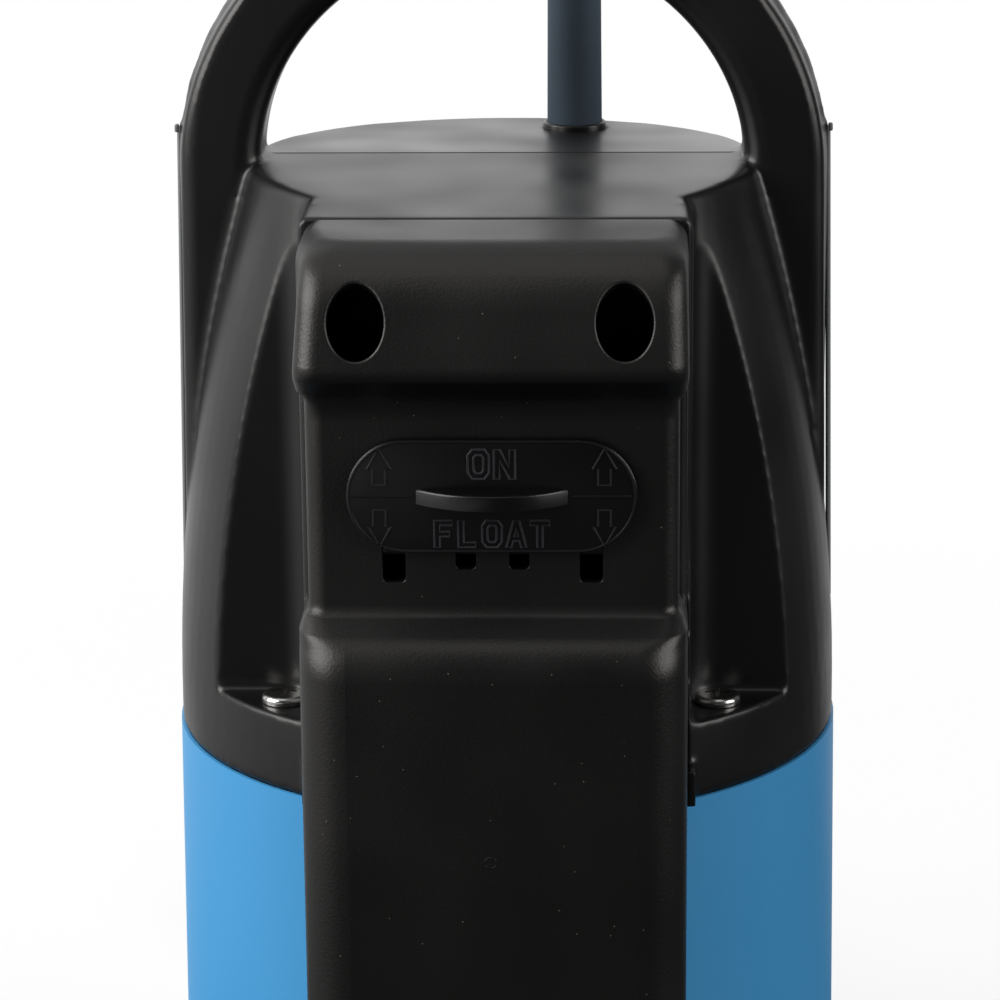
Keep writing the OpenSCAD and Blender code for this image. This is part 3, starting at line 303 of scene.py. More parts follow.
FINISHES: dict[Slot, Finish] = {
    # Polypropylene from a polished tool: satin black that mirrors the white room at a shallow angle, with
    # parting ridges painted grey, a painted highlight where their grazing sides mirror the white room
    Slot.HEAD: HighlightedPlastic("moulded_polypropylene", "#101011", 0.34, shade="#0c0c0d", wave_depth_mm=0.25,
                             cast="#fffcf9", highlight_colour="#7c7e80"),
    # The same plastic from an eroded tool: duller, with dust in a grain drawn coarse enough to show
    Slot.COVER: MouldedPlastic("eroded_polypropylene", "#0f0f0f", 0.39, shade="#0b0b0b", grain_mm=0.6,
                               grain_depth_mm=0.055, dust_mm=4.0, cast="#fffaf6"),
    # Acetal: smooth and slippery, its raised marks painted paler, a painted highlight on their edges
    Slot.SLIDER: HighlightedPlastic("moulded_acetal", "#08080a", 0.3, shade="#060607", wave_depth_mm=0.02),
    # Blue ABS: even satin colour with a faint flow in it
    Slot.JACKET: MouldedPlastic("moulded_abs", "#4499d0", 0.42, shade="#3f93cb", wave_mm=40.0),
    # Glass-filled nylon: grey-black and dry, with short fibres at the skin, drawn coarse enough to show
    Slot.CASING: MouldedPlastic("glass_filled_nylon", "#222224", 0.5, shade="#1a1a1b", grain_mm=0.7),
    # Moulded nitrile rubber: dull black that hardly shines
    Slot.SEAL: MouldedPlastic("nitrile_rubber", "#141414", 0.62, shade="#101010", ior=1.52),
    # Extruded rubber sheath: bluish black with a soft bloom
    Slot.CORD: MouldedPlastic("rubber_sheath", "#47535f", 0.75, shade="#404c57", wave_mm=12.0,
                              wave_depth_mm=0.05, ior=1.52, gloss=0.25),
    # Woven nylon band: matt black, its weave a deep grain
    Slot.TIE: MouldedPlastic("woven_nylon", "#161616", 0.8, shade="#0c0c0c", grain_depth_mm=0.1),
    # Cold-formed stainless steel: bright and nearly smooth
    Slot.STAINLESS: WorkedMetal("stainless_steel", "#c9c8c4", 0.2, grain_mm=1.5, grain_depth_mm=0.002,
                                spread=0.04),
    # Die-cast aluminium: dull grey with the die's grain
    Slot.PLATE: WorkedMetal("die_cast_aluminium", "#9c9fa2", 0.45, grain_mm=0.9, grain_depth_mm=0.03),
    # Stacked sheets of electrical steel: fine level lines
    Slot.LAMINATION: WorkedMetal("electrical_steel", "#74777b", 0.42, stretch=(0.05, 0.05, 1.0)),
    # Varnished copper wire: a warm shine on level turns
    Slot.COPPER: WorkedMetal("varnished_copper", "#b4713c", 0.34, grain_mm=0.8, grain_depth_mm=0.15,
                             stretch=(0.2, 0.2, 1.0)),
    # Moulded polybutylene: an even dark grey satin
    Slot.CAPACITOR: MouldedPlastic("polybutylene_case", "#3a3d42", 0.4, shade="#34373c"),
    # Polypropylene without pigment: milky and waxy
    Slot.PALE: MouldedPlastic("natural_polypropylene", "#d6d3c9", 0.45, shade="#cbc8be"),
    # Potted circuit board: green under glossy resin
    Slot.SWITCH: MouldedPlastic("potted_board", "#2d5a3a", 0.35, shade="#264e32"),
    # Extruded PVC: brown, smooth and softly shiny
    Slot.LEAD: MouldedPlastic("pvc_insulation", "#86572b", 0.45, shade="#7a4f26"),
    # Plated brass strip: pale gold with fine lines across it
    Slot.BRASS: WorkedMetal("plated_brass", "#cdb67c", 0.24, stretch=(1.0, 0.1, 1.0)),
}


@dataclass
class Studio:
    """Camera, white floor and soft light, in metres and degrees."""

    target: Vector = field(default_factory=lambda: Vector((0.0, 0.0, 189.3 * MM)))
    distance: float = 874.7 * MM
    azimuth: float = 1.8
    elevation: float = 16.0
    roll: float = -0.46
    sensor: float = 36.0
    lens: float = 137.5
    shift: float = -0.0059
    floor_size: float = 12.0
    paper: str = "#f4f4f4"
    table: str = "#464646"
    # The floor's own white grows away from its middle: where it starts, where it is full, its least share
    floor_middle: Triple = (0.0, 0.08, 0.0)
    floor_white: Triple = (0.15, 0.6, 0.8)
    # The white card on the table's left: where it is full, where it ends, how bright it is
    card: Triple = (-0.5, -0.17, 0.55)
    # Fades: how much the left counts as behind, where it starts, where it is full, its value in front, behind
    floor_fade: tuple[float, ...] = (0.12, 0.6, 1.0, 0.0, 1.0)
    room_fade: tuple[float, ...] = (0.3, 0.3, 0.9, 0.04, 1.2)
    # Lamps: name, place, side of the panel and watts
    lamps: tuple[tuple[str, Triple, float, float], ...] = (
        ("window_left", (-1.6, -0.6, 1.1), 1.7, 57.0), ("panel_right", (1.7, -0.7, 0.9), 1.4, 25.0),
        ("panel_top", (-0.2, -0.2, 1.9), 1.4, 5.0))

    def build(self) -> None:
        """Makes the camera, the floor, the room and the lamps."""
        bpy.context.scene.view_settings.view_transform = "Standard"
        self.place_camera()
        self.lay_floor()
        self.light_room()
        for name, place, size, power in self.lamps:
            self.hang_lamp(name, Vector(place), size, power)

    def fade(self, tree: bpy.types.NodeTree, where: bpy.types.NodeSocket, lean: float, low: float,
             high: float, dark: float, light: float) -> bpy.types.NodeSocket:
        """Makes a value that goes from dark in front to light behind and on the left.

        Args:
            tree: The node tree that gets it.
            where: The place or direction it is read at.
            lean: How much the left counts as behind.
            low: Where it begins to rise.
            high: Where it is full.
            dark: Its value in front.
            light: Its value behind.

        Returns:
            The value.
        """
        depth = add_node(tree, "ShaderNodeVectorMath", {"operation": "DOT_PRODUCT", 1: (-lean, 1.0, 0.0)},
                         {0: where})
        return add_node(tree, "ShaderNodeMapRange",
                        {"From Min": low, "From Max": high, "To Min": dark, "To Max": light},
                        {"Value": depth.outputs["Value"]}).outputs[0]

    def place_camera(self) -> None:
        """Sets the camera at the photograph's viewing angle."""
        a, e, r = (math.radians(v) for v in (self.azimuth, self.elevation, self.roll))
        back = Vector((math.sin(a) * math.cos(e), -math.cos(a) * math.cos(e), math.sin(e)))
        right = Vector((math.cos(a), math.sin(a), 0.0))
        up = back.cross(right)
        rolled_right = right * math.cos(r) + up * math.sin(r)
        rolled_up = up * math.cos(r) - right * math.sin(r)
        turn = Matrix((rolled_right, rolled_up, back)).transposed().to_4x4()
        data = bpy.data.cameras.new("camera")
        data.sensor_width = self.sensor
        data.lens = self.lens
        data.shift_x = self.shift
        camera = bpy.data.objects.new("camera", data)
        camera.matrix_world = Matrix.Translation(self.target + back * self.distance) @ turn
        bpy.context.scene.collection.objects.link(camera)
        bpy.context.scene.camera = camera

    def lay_floor(self) -> None:
        """Lays a white floor that keeps the pump's shadow."""
        mesh = bpy.data.meshes.new("floor")
        bm = bmesh.new()
        bmesh.ops.create_grid(bm, x_segments=1, y_segments=1, size=self.floor_size / 2)
        bm.to_mesh(mesh)
        bm.free()
        mesh.materials.append(self.sweep())
        floor = bpy.data.objects.new("floor", mesh)
        bpy.context.scene.collection.objects.link(floor)

    def sweep(self) -> bpy.types.Material:
        """Makes the floor's paper: white to the eye, and to gloss only behind the pump and on the card.

        Returns:
            The paper's material.
        """
        material = bpy.data.materials.new("white_sweep")
        material.use_nodes = True
        tree = material.node_tree
        tree.nodes.clear()
        paper = add_node(tree, "ShaderNodeBsdfDiffuse", {"Color": linear(self.paper)})
        glow = add_node(tree, "ShaderNodeEmission", {"Color": linear("#ffffff"), "Strength": 1.0})
        where = add_node(tree, "ShaderNodeTexCoord").outputs["Object"]
        reach = add_node(tree, "ShaderNodeVectorMath", {"operation": "DISTANCE", 1: self.floor_middle},
                         {0: where})
        start, full, least = self.floor_white
        clear = add_node(tree, "ShaderNodeMapRange",
                         {"From Min": start, "From Max": full, "To Min": least, "To Max": 1.0},
                         {"Value": reach.outputs["Value"]})
        lit = add_node(tree, "ShaderNodeMixShader", links={0: clear.outputs[0], 1: paper.outputs[0],
                                                           2: glow.outputs[0]})
        table = add_node(tree, "ShaderNodeBsdfDiffuse", {"Color": linear(self.table)})
        path = add_node(tree, "ShaderNodeLightPath")
        seen = add_node(tree, "ShaderNodeMath", {"operation": "MAXIMUM"},
                        {0: path.outputs["Is Camera Ray"], 1: path.outputs["Is Transmission Ray"]})
        way = add_node(tree, "ShaderNodeVectorMath", {"operation": "NORMALIZE"}, {0: where})
        behind = self.fade(tree, way.outputs[0], *self.floor_fade)
        across = add_node(tree, "ShaderNodeSeparateXYZ", links={0: where})
        full, end, bright = self.card
        card = add_node(tree, "ShaderNodeMapRange",
                        {"From Min": full, "From Max": end, "To Min": bright, "To Max": 0.0},
                        {"Value": across.outputs["X"]})
        white = add_node(tree, "ShaderNodeMath", {"operation": "MAXIMUM"}, {0: behind, 1: card.outputs[0]})
        mirrored = add_node(tree, "ShaderNodeMath", {"operation": "MULTIPLY"},
                            {0: path.outputs["Is Glossy Ray"], 1: white.outputs[0]})
        shown = add_node(tree, "ShaderNodeMath", {"operation": "MAXIMUM"},
                         {0: seen.outputs[0], 1: mirrored.outputs[0]})
        both = add_node(tree, "ShaderNodeMixShader", links={0: shown.outputs[0], 1: table.outputs[0],
                                                            2: lit.outputs[0]})
        add_node(tree, "ShaderNodeOutputMaterial", links={"Surface": both.outputs[0]})
        return material

    def light_room(self) -> None:
        """Makes the room: white behind the pump and to the eye, dim on the camera's side."""
        world = bpy.data.worlds.new("room")
        bpy.context.scene.world = world
        world.use_nodes = True
        tree = world.node_tree
        tree.nodes.clear()
        path = add_node(tree, "ShaderNodeLightPath")
        way = add_node(tree, "ShaderNodeTexCoord").outputs["Generated"]
        rear = self.fade(tree, way, *self.room_fade)
        seen = add_node(tree, "ShaderNodeMath", {"operation": "MAXIMUM"},
                        {0: path.outputs["Is Camera Ray"], 1: path.outputs["Is Transmission Ray"]})
        strength = add_node(tree, "ShaderNodeMath", {"operation": "MAXIMUM"},
                            {0: seen.outputs[0], 1: rear})
        white = add_node(tree, "ShaderNodeBackground", {"Color": linear("#ffffff")},
                         {"Strength": strength.outputs[0]})
        add_node(tree, "ShaderNodeOutputWorld", links={"Surface": white.outputs[0]})

    def hang_lamp(self, name: str, place: Vector, size: float, power: float) -> None:
        """Hangs a square soft lamp that faces the pump.

        Args:
            name: The lamp's name.
            place: Where it hangs.
            size: The side of its panel.
            power: Its power in watts.
        """
        data = bpy.data.lights.new(name, "AREA")
        data.size = size
        data.energy = power
        lamp = bpy.data.objects.new(name, data)
        lamp.location = place
        lamp.rotation_mode = "QUATERNION"
        lamp.rotation_quaternion = (self.target - place).to_track_quat("-Z", "Y")
        bpy.context.scene.collection.objects.link(lamp)


def round_corner(before: Vector, corner: Vector, after: Vector, radius: float, steps: int) -> list[Vector]:
    """Rounds a corner of a flat outline.

    Args:
        before: The outline's point before the corner.
        corner: The corner.
        after: The outline's point after the corner.
        radius: The rounding's radius.
        steps: The number of straight pieces of the arc.

    Returns:
        The points of the arc.
    """
    one = (before - corner).normalized()
    two = (after - corner).normalized()
    half = one.angle(two) / 2
    middle = corner + (one + two).normalized() * (radius / math.sin(half))
    start = corner + one * (radius / math.tan(half)) - middle
    turn = start.angle_signed(corner + two * (radius / math.tan(half)) - middle)
    return [middle + Matrix.Rotation(-turn * i / steps, 2) @ start for i in range(steps + 1)]


def rounded(outline: Sequence[Triple], steps: int, closed: bool = True) -> list[Vector]:
    """Rounds each corner of a flat outline.

    Args:
        outline: Corners, each with its radius.
        steps: The number of straight pieces of each arc.
        closed: Whether the last corner joins the first.

    Returns:
        The points of the rounded outline.
    """
    spots = [Vector(corner[:2]) for corner in outline]
    points: list[Vector] = []
    for i, corner in enumerate(outline):
        if corner[2] == 0 or (not closed and i in (0, len(outline) - 1)):
            points.append(spots[i])
        else:
            points += round_corner(spots[i - 1], spots[i], spots[(i + 1) % len(spots)], corner[2], steps)
    return points


def ease(value: float, start: float, end: float) -> float:
    """Goes smoothly from 0 to 1 while the value goes from start to end."""
    t = min(max((value - start) / (end - start), 0.0), 1.0)
    return t * t * (3 - 2 * t)


def even_turns(count: int) -> list[float]:
    """Gives the angles that part a full turn evenly."""
    return [2 * math.pi * k / count for k in range(count)]


def points_of(edges: Sequence[bmesh.types.BMEdge]) -> list[bmesh.types.BMVert]:
    """Gives the points of edges, each once and in the edges' order."""
    return list(dict.fromkeys(vert for edge in edges for vert in edge.verts))


def add_box(bm: bmesh.types.BMesh, low: Triple, high: Triple, edge: float) -> None:
    """Adds a box with rounded edges.

    Args:
        bm: The mesh that gets the box.
        low: Its lowest corner in millimetres.
        high: Its highest corner in millimetres.
        edge: The rounding of its edges in millimetres.
    """
    lo, hi = Vector(low) * MM, Vector(high) * MM
    size = Matrix.Diagonal((*(hi - lo), 1.0))
    made = bmesh.ops.create_cube(bm, size=1.0, matrix=Matrix.Translation((lo + hi) / 2) @ size)
    rims = list(dict.fromkeys(e for v in made["verts"] for e in v.link_edges))
    bmesh.ops.bevel(bm, geom=rims, offset=edge * MM, offset_type="OFFSET", segments=3, profile=0.5,
                    affect="EDGES", material=-1)


def add_bead(bm: bmesh.types.BMesh, points: list[Vector], radius: float, closed: bool,
             sides: int = 6) -> list[bmesh.types.BMVert]:
    """Sweeps a thin bead along points in metres.

    Args:
        bm: The mesh that gets the bead.
        points: The bead's middle line.
        radius: The bead's radius.
        closed: Whether the bead ends where it starts.
        sides: The number of flat sides round the bead.

    Returns:
        The bead's points.
    """
    rings = []
    count = len(points)
    for i, point in enumerate(points):
        ahead = points[(i + 1) % count] if closed or i + 1 < count else point
        behind = points[i - 1] if closed or i else point
        along = (ahead - behind).normalized()
        out = Vector((0.0, -1.0, 0.0)) if abs(along.y) < 0.9 else Vector((1.0, 0.0, 0.0))
        side = along.cross(out).normalized()
        out = side.cross(along)
        rings.append([bm.verts.new(point + (side * math.cos(a) + out * math.sin(a)) * radius)
                      for a in even_turns(sides)])
    for i in range(count if closed else count - 1):
        one, two = rings[i], rings[(i + 1) % count]
        for k in range(sides):
            bm.faces.new((one[k], one[(k + 1) % sides], two[(k + 1) % sides], two[k]))
    if not closed:
        bm.faces.new(rings[0])
        bm.faces.new(rings[-1])
    return [vert for ring in rings for vert in ring]


@dataclass
class Piece:
    """A piece made here: the body it rides on, its slot and the nodes it takes the place of."""

    name: str
    body: Body
    slot: Slot
    nodes: tuple[str, ...] = ()

    def place(self, bm: bmesh.types.BMesh, skin: bpy.types.Material) -> bpy.types.Object:
        """Turns the drawn form into a piece of the pump.

        Args:
            bm: The form. It is freed.
            skin: The piece's material.

        Returns:
            The piece.
        """
        bmesh.ops.recalc_face_normals(bm, faces=bm.faces)
        for face in bm.faces:
            face.smooth = True
        for edge in bm.edges:
            edge.smooth = edge.calc_face_angle(0.0) < math.radians(CREASE)
        mesh = bpy.data.meshes.new(self.name)
        bm.to_mesh(mesh)
        bm.free()
        mesh.materials.append(skin)
        made = bpy.data.objects.new(self.name, mesh)
        bpy.context.scene.collection.objects.link(made)
        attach(made, self.body.value)
        if self.nodes:
            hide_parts(*self.nodes)
        LOG.info("made %s", self.name)
        return made


@dataclass
class Head(Piece):
    """The head with its handle, remade with a moulding's soft edges, and the fine lines of its tool."""

    weld: float = 0.001
    cell: float = 0.8
    softness: float = 0.5
    passes: int = 7
    kept: float = 0.3
    leg_out: float = 72.4
    # The legs' draft: how far in, over which heights it grows, how deep it takes the skin along, and the half
    # strip in the middle that stays
    leg_draft: float = 1.2
    draft_rows: Point = (195.0, 225.0)
    draft_skin: float = 3.2
    draft_clear: float = 2.0
    arch: float = 268.0
    ridge_half: float = 0.6
    ridge: tuple[Point, ...] = ((74.6, 167.0), (74.3, 185.0), (72.85, 276.0))
    # How far beside and below the ridge a point of the frame's own ridge may lie
    ridge_slack: Point = (0.05, 0.5)
    ridge_sides: int = 12
    # The nub at a ridge's top: half width, half depth, reach below and above
    nub: Quad = (0.5, 0.7, 1.2, 0.6)
    nub_edge: float = 0.35
    # The right latch of the cover: lowest and highest corner
    latch: tuple[Triple, Triple] = ((40.4, -68.0, 140.1), (42.4, -58.0, 148.0))
    latch_edge: float = 0.4
    deck: float = 270.0
    deck_half: float = 53.0
    deck_bead: float = 0.07
    # The collar round the cord: its middle, and the corners of its section from there
    collar_middle: Point = (15.5, 39.5)
    collar: tuple[Triple, ...] = ((6.4, 267.0, 0), (7.3, 267.0, 0), (7.3, 270.0, 0.6), (6.4, 270.0, 0.2))
    collar_round: int = 4
    collar_steps: int = 48

    def build(self, source: bpy.types.Object, skin: bpy.types.Material) -> None:
        """Makes the moulding and its lines.

        Args:
            source: The frame's head.
            skin: The head's material.
        """
        bm = bmesh.new()
        bm.from_mesh(source.data)
        bmesh.ops.remove_doubles(bm, verts=bm.verts, dist=self.weld * MM)
        beside, below = self.ridge_slack
        for vert in bm.verts:
            on_ridge = abs(vert.co.y) < (self.ridge_half + beside) * MM and abs(vert.co.x) > self.leg_out * MM
            if on_ridge and vert.co.z > self.ridge[0][1] * MM - below * MM:
                vert.co.x = math.copysign(self.leg_out * MM, vert.co.x)
        self.draft_legs(bm)
        made = self.place(bm, skin)
        grid = made.modifiers.new("even_grid", "REMESH")
        grid.mode = "VOXEL"
        grid.voxel_size = self.cell * MM
        grid.use_smooth_shade = True
        soft = made.modifiers.new("soft_edges", "SMOOTH")
        soft.factor = self.softness
        soft.iterations = self.passes
        fewer = made.modifiers.new("fewer_faces", "DECIMATE")
        fewer.ratio = self.kept
        self.draw_lines(skin)

    def draft_legs(self, bm: bmesh.types.BMesh) -> None:
        """Draws the handle's outer edges in, so that its sides lean from the parting ridge to front and back.

        Args:
            bm: The head.
        """
        start, end = (z * MM for z in self.draft_rows)
        for vert in bm.verts:
            up = max(vert.co.z - self.arch * MM, 0.0)
            at_skin = math.hypot(vert.co.x, up) > (self.leg_out - self.draft_skin) * MM
            if abs(vert.co.y) > self.draft_clear * MM and at_skin:
                draft = self.leg_draft / self.leg_out * ease(vert.co.z, start, end)
                vert.co.x -= vert.co.x * draft
                vert.co.z -= up * draft

    def draw_lines(self, skin: bpy.types.Material) -> None:
        """Adds the parting ridges with their nubs, the latches, the deck's parting line and the collar.

        Args:
            skin: The head's material.
        """
        bm = bmesh.new()
        painted_highlight = bm.verts.layers.float.new(PAINTED_HIGHLIGHT)
        out, top = self.ridge[-1]
        wide, deep, below, above = self.nub
        for side in (-1, 1):
            crest = [Vector((side * (x - self.ridge_half), 0.0, z)) * MM for x, z in self.ridge]
            add_bead(bm, crest, self.ridge_half * MM, closed=False, sides=self.ridge_sides)
            add_box(bm, (side * out - wide, -deep, top - below), (side * out + wide, deep, top + above),
                    self.nub_edge)
        # Ridges and nubs are painted pale grey: a painted highlight where their grazing sides mirror the
        # white room
        for vert in bm.verts:
            vert[painted_highlight] = Highlight.FULL.value
        low, high = self.latch
        for side in (-1, 1):
            left, right = sorted((side * low[0], side * high[0]))
            add_box(bm, (left, *low[1:]), (right, *high[1:]), self.latch_edge)
        line = [Vector((x, 0.0, self.deck)) * MM for x in (-self.deck_half, self.deck_half)]
        add_bead(bm, line, self.deck_bead * MM, closed=False)
        self.turn_collar(bm)
        Piece("head_lines", self.body, self.slot).place(bm, skin)

    def turn_collar(self, bm: bmesh.types.BMesh) -> None:
        """Turns the collar round the cord.

        Args:
            bm: The mesh that gets the collar.
        """
        x, y = self.collar_middle
        section = rounded(self.collar, self.collar_round)
        ring = [bm.verts.new(Vector((x + p.x, y, p.y)) * MM) for p in section]
        edges = [bm.edges.new((ring[i - 1], ring[i])) for i in range(len(ring))]
        bmesh.ops.spin(bm, geom=ring + edges, cent=Vector((x, y, 0.0)) * MM, axis=(0.0, 0.0, 1.0),
                       angle=2 * math.pi, steps=self.collar_steps, use_merge=True)


@dataclass
class Cover(Piece):
    """The float cover: a thin shell drawn as sections from its lower rim to the hood's top."""

    half: float = 40.2
    back: float = 60.2
    wall: float = 2.5
    weld: float = 0.02
    # The side view: how far forward, how high, and the corner's radius
    side_view: tuple[Triple, ...] = (
        (101, 10, 0), (101, 184.7, 10), (90, 190.8, 3), (90, 235.6, 9), (98, 242.6, 3.8), (91.65, 267.4, 16),
        (60.2, 267.4, 0))
    round_steps: int = 14
    # Heights and ways from the middle at which the front has points, and the least room beside them
    rows: tuple[float, ...] = (28, 60, 100, 140, 196.7, 197.4, 199.5, 200.2, 217.4, 218.1, 244.9, 262.3)
    columns: tuple[float, ...] = (2.5, 3.4, 7.6, 8.4, 9.5, 14.5, 17.1, 17.9, 21.5, 22.7, 23.5, 26.5, 30)
    row_gap: float = 0.05
    column_gap: float = 0.1
    top_round: float = 4.4
    # How far the hood's left and right front corners draw in by its top
    draw_in: Point = (1.7, 0.5)
    # The front corners' radius below, at the panel and on the hood, and the heights over which it changes
    corner_radii: Triple = (10.0, 4.0, 5.2)
    corner_rows: tuple[Point, Point] = ((184.0, 191.0), (236.0, 243.0))
    corner_steps: int = 8
    # Heights over which the sides step in to the panel and out again
    panel_rows: tuple[Point, Point] = ((188.3, 191.6), (235.4, 239.4))
    # The strip behind that step: its front, its edge's rounding, the step, and the room to the front corner
    strip_front: float = 78.2
    strip_edge: float = 1.6
    strip_in: float = 1.8
    strip_gap: float = 7.5
    strip_steps: int = 3
    # Faces further back than this aren't cut
    cut_limit: float = 80.0
    # A vent: X and height of its middle, half its width and height, and the box round it that is filled anew
    vent: Quad = (27.1, 253.5, 5.75, 7.5)
    vent_box: Quad = (17.9, 33.8, 244.9, 262.3)
    vent_rim: float = 0.6
    vent_steps: int = 72
    vent_snap: float = 0.15
    # Holes in the front: least and greatest X, least and greatest height
    slots: tuple[Quad, ...] = ((17.9, 22.7, 197.4, 217.4), (3.4, 7.6, 200.2, 217.4))
    slot_corner: float = 1.1
    slot_snap: float = 0.01
    notches: tuple[Quad, ...] = ((-2.5, 2.5, 10, 28), (9.5, 14.5, 10, 28), (21.5, 26.5, 10, 28))
    # The rounding of the holes' edges, and the share of it below the vents
    rim_round: float = 0.45
    slot_share: float = 0.4
    # The rib inside: lowest and highest corner
    rib: tuple[Triple, Triple] = ((-38.9, -95.5, 149.3), (38.9, -71.1, 155.3))
    rib_edge: float = 0.4
    # The ring that the tool's gate left
    gate: Triple = (-0.6, -101.0, 140.0)
    gate_radius: float = 1.2
    gate_bead: float = 0.12
    gate_steps: int = 20
    # The side view's points, found when the cover is built
    outline: list[Vector] = field(default_factory=list)

    def profile(self) -> list[Vector]:
        """Gives the side view up to the hood's top, with a point at each needed row.

        Returns:
            The side view's points in millimetres.
        """
        points = rounded(self.side_view, self.round_steps, closed=False)[:-1]
        for z in self.rows:
            for i in range(len(points) - 1):
                low, high = points[i], points[i + 1]
                if low.y + self.row_gap < z < high.y - self.row_gap:
                    points.insert(i + 1, low.lerp(high, (z - low.y) / (high.y - low.y)))
                    break
        return points

    def flank(self, front: float, z: float, draw_in: float) -> list[Vector]:
        """Gives one half of a section, from its middle round the front to its back edge.

        Args:
            front: How far forward the section reaches.
            z: Its height.
            draw_in: How far the hood's front corner is drawn in at its top.

        Returns:
            The half's points in millimetres.
        """
        foot, top = self.side_view[4][1], self.side_view[-1][1]
        over = max(z - (top - self.top_round), 0.0)
        half = self.half - self.top_round + math.sqrt(max(self.top_round ** 2 - over ** 2, 0.0))
        corner = half - draw_in * max(z - foot, 0.0) / (top - foot)
        step_in, step_out = (ease(z, *heights) for heights in self.panel_rows)
        panel = step_in * (1 - step_out)
        inset = self.strip_in * panel
        below, middle, hood = self.corner_radii
        to_panel, to_hood = (ease(z, *heights) for heights in self.corner_rows)
        radius = below + (middle - below) * to_panel + (hood - middle) * to_hood
        radius = min(radius, corner - inset - self.columns[-1] - self.column_gap)
        strip = min(self.strip_front, front - radius - self.strip_gap)
        points = [Vector((x, front)) for x in self.columns]
        turn = Vector((corner - inset - radius, front - radius))
        for i in range(self.corner_steps + 1):
            a = math.pi / 2 * i / self.corner_steps
            points.append(turn + Vector((math.sin(a), math.cos(a))) * radius)
        points.append(Vector((half - inset, strip)))
        edge = self.strip_edge
        for i in range(self.strip_steps + 1):
            a = math.pi / (2 * self.strip_steps) * i
            points.append(Vector((half - edge * panel * (1 - math.sin(a)),
                                  strip - edge * (1 - math.cos(a)))))
        points.append(Vector((half, self.back)))
        return points

    def section(self, front: float, z: float) -> list[Vector]:
        """Gives one section of the shell, from its back left edge round the front to its back right edge.

        Args:
            front: How far forward the section reaches.
            z: Its height.

        Returns:
            The section's points in metres.
        """
        left, right = (self.flank(front, z, draw_in) for draw_in in self.draw_in)
        mirrored = [Vector((-p.x, p.y)) for p in reversed(left)]
        return [Vector((p.x, -p.y, z)) * MM for p in mirrored + right]

    def cut(self, bm: bmesh.types.BMesh, box: Quad) -> list[bmesh.types.BMEdge]:
        """Takes the front's faces out of a box.

        Args:
            bm: The shell.
            box: Least and greatest X, least and greatest height, in millimetres.

        Returns:
            The edges of the hole.
        """
        x0, x1, z0, z1 = (v * MM for v in box)
        inside = []
        for face in bm.faces:
            spot = face.calc_center_median()
            if x0 < spot.x < x1 and z0 < spot.z < z1 and spot.y < -self.cut_limit * MM:
                inside.append(face)
        rim = [e for f in inside for e in f.edges if sum(g in inside for g in e.link_faces) == 1]
        bmesh.ops.delete(bm, geom=inside, context="FACES")
        return rim

    def on_front(self, x: float, z: float) -> Vector:
        """Gives the point of the front's face at a place in the front view, all in metres.

        Args:
            x: The place to the right.
            z: The place up.

        Returns:
            The point.
        """
        for low, high in zip(self.outline, self.outline[1:]):
            if low.y <= z / MM < high.y:
                return Vector((x, -low.lerp(high, (z / MM - low.y) / (high.y - low.y)).x * MM, z))
        return Vector((x, -self.outline[-1].x * MM, z))

    def draw_vent(self, bm: bmesh.types.BMesh, side: int) -> None:
        """Cuts a vent's oval into the hood's front, with a narrow rim round it.

        Args:
            bm: The shell.
            side: -1 for the left vent, 1 for the right one.
        """
        low, high = sorted((side * self.vent_box[0], side * self.vent_box[1]))
        rim = self.cut(bm, (low, high, *self.vent_box[2:]))
        corners = points_of(rim)
        lines = [tuple(corners.index(v) for v in e.verts) for e in rim]
        heights: dict[float, list[int]] = {}
        for i, vert in enumerate(corners):
            heights.setdefault(round(vert.co.z / MM, 2), []).append(i)
        lines += [tuple(pair) for pair in heights.values() if len(pair) == 2]
        middle = Vector((side * self.vent[0], self.vent[1])) * MM
        wide, tall = ((v + self.vent_rim) * MM for v in self.vent[2:])
        oval = [middle + Vector((wide * math.cos(a), tall * math.sin(a)))
                for a in even_turns(self.vent_steps)]
        first = len(corners)
        lines += [(first + (k - 1) % self.vent_steps, first + k) for k in range(self.vent_steps)]
        flat = [v.co.xz for v in corners] + oval
        spots, _, faces, origins, _, _ = delaunay_2d_cdt(flat, lines, [], 1, self.vent_snap * MM)
        verts: list[bmesh.types.BMVert] = []
        for spot, origin in zip(spots, origins):
            old = [k for k in origin if k < first]
            verts.append(corners[old[0]] if old else bm.verts.new(self.on_front(*spot)))
        for face in faces:
            away = sum((spots[i] for i in face), Vector((0.0, 0.0))) / len(face) - middle
            if math.hypot(away.x / wide, away.y / tall) > 1.0:
                bm.faces.new([verts[i] for i in face])
        bmesh.ops.delete(bm, geom=[v for v in verts if not v.link_faces], context="VERTS")
        kept = (v for v in verts if v.is_valid)
        mouth = list(dict.fromkeys(e for v in kept for e in v.link_edges if len(e.link_faces) == 1))
        grown = bmesh.ops.extrude_edge_only(bm, edges=mouth)["geom"]
        for vert in (g for g in grown if isinstance(g, bmesh.types.BMVert)):
            inner = vert.co.xz + (middle - vert.co.xz).normalized() * self.vent_rim * MM
            vert.co = self.on_front(*inner)

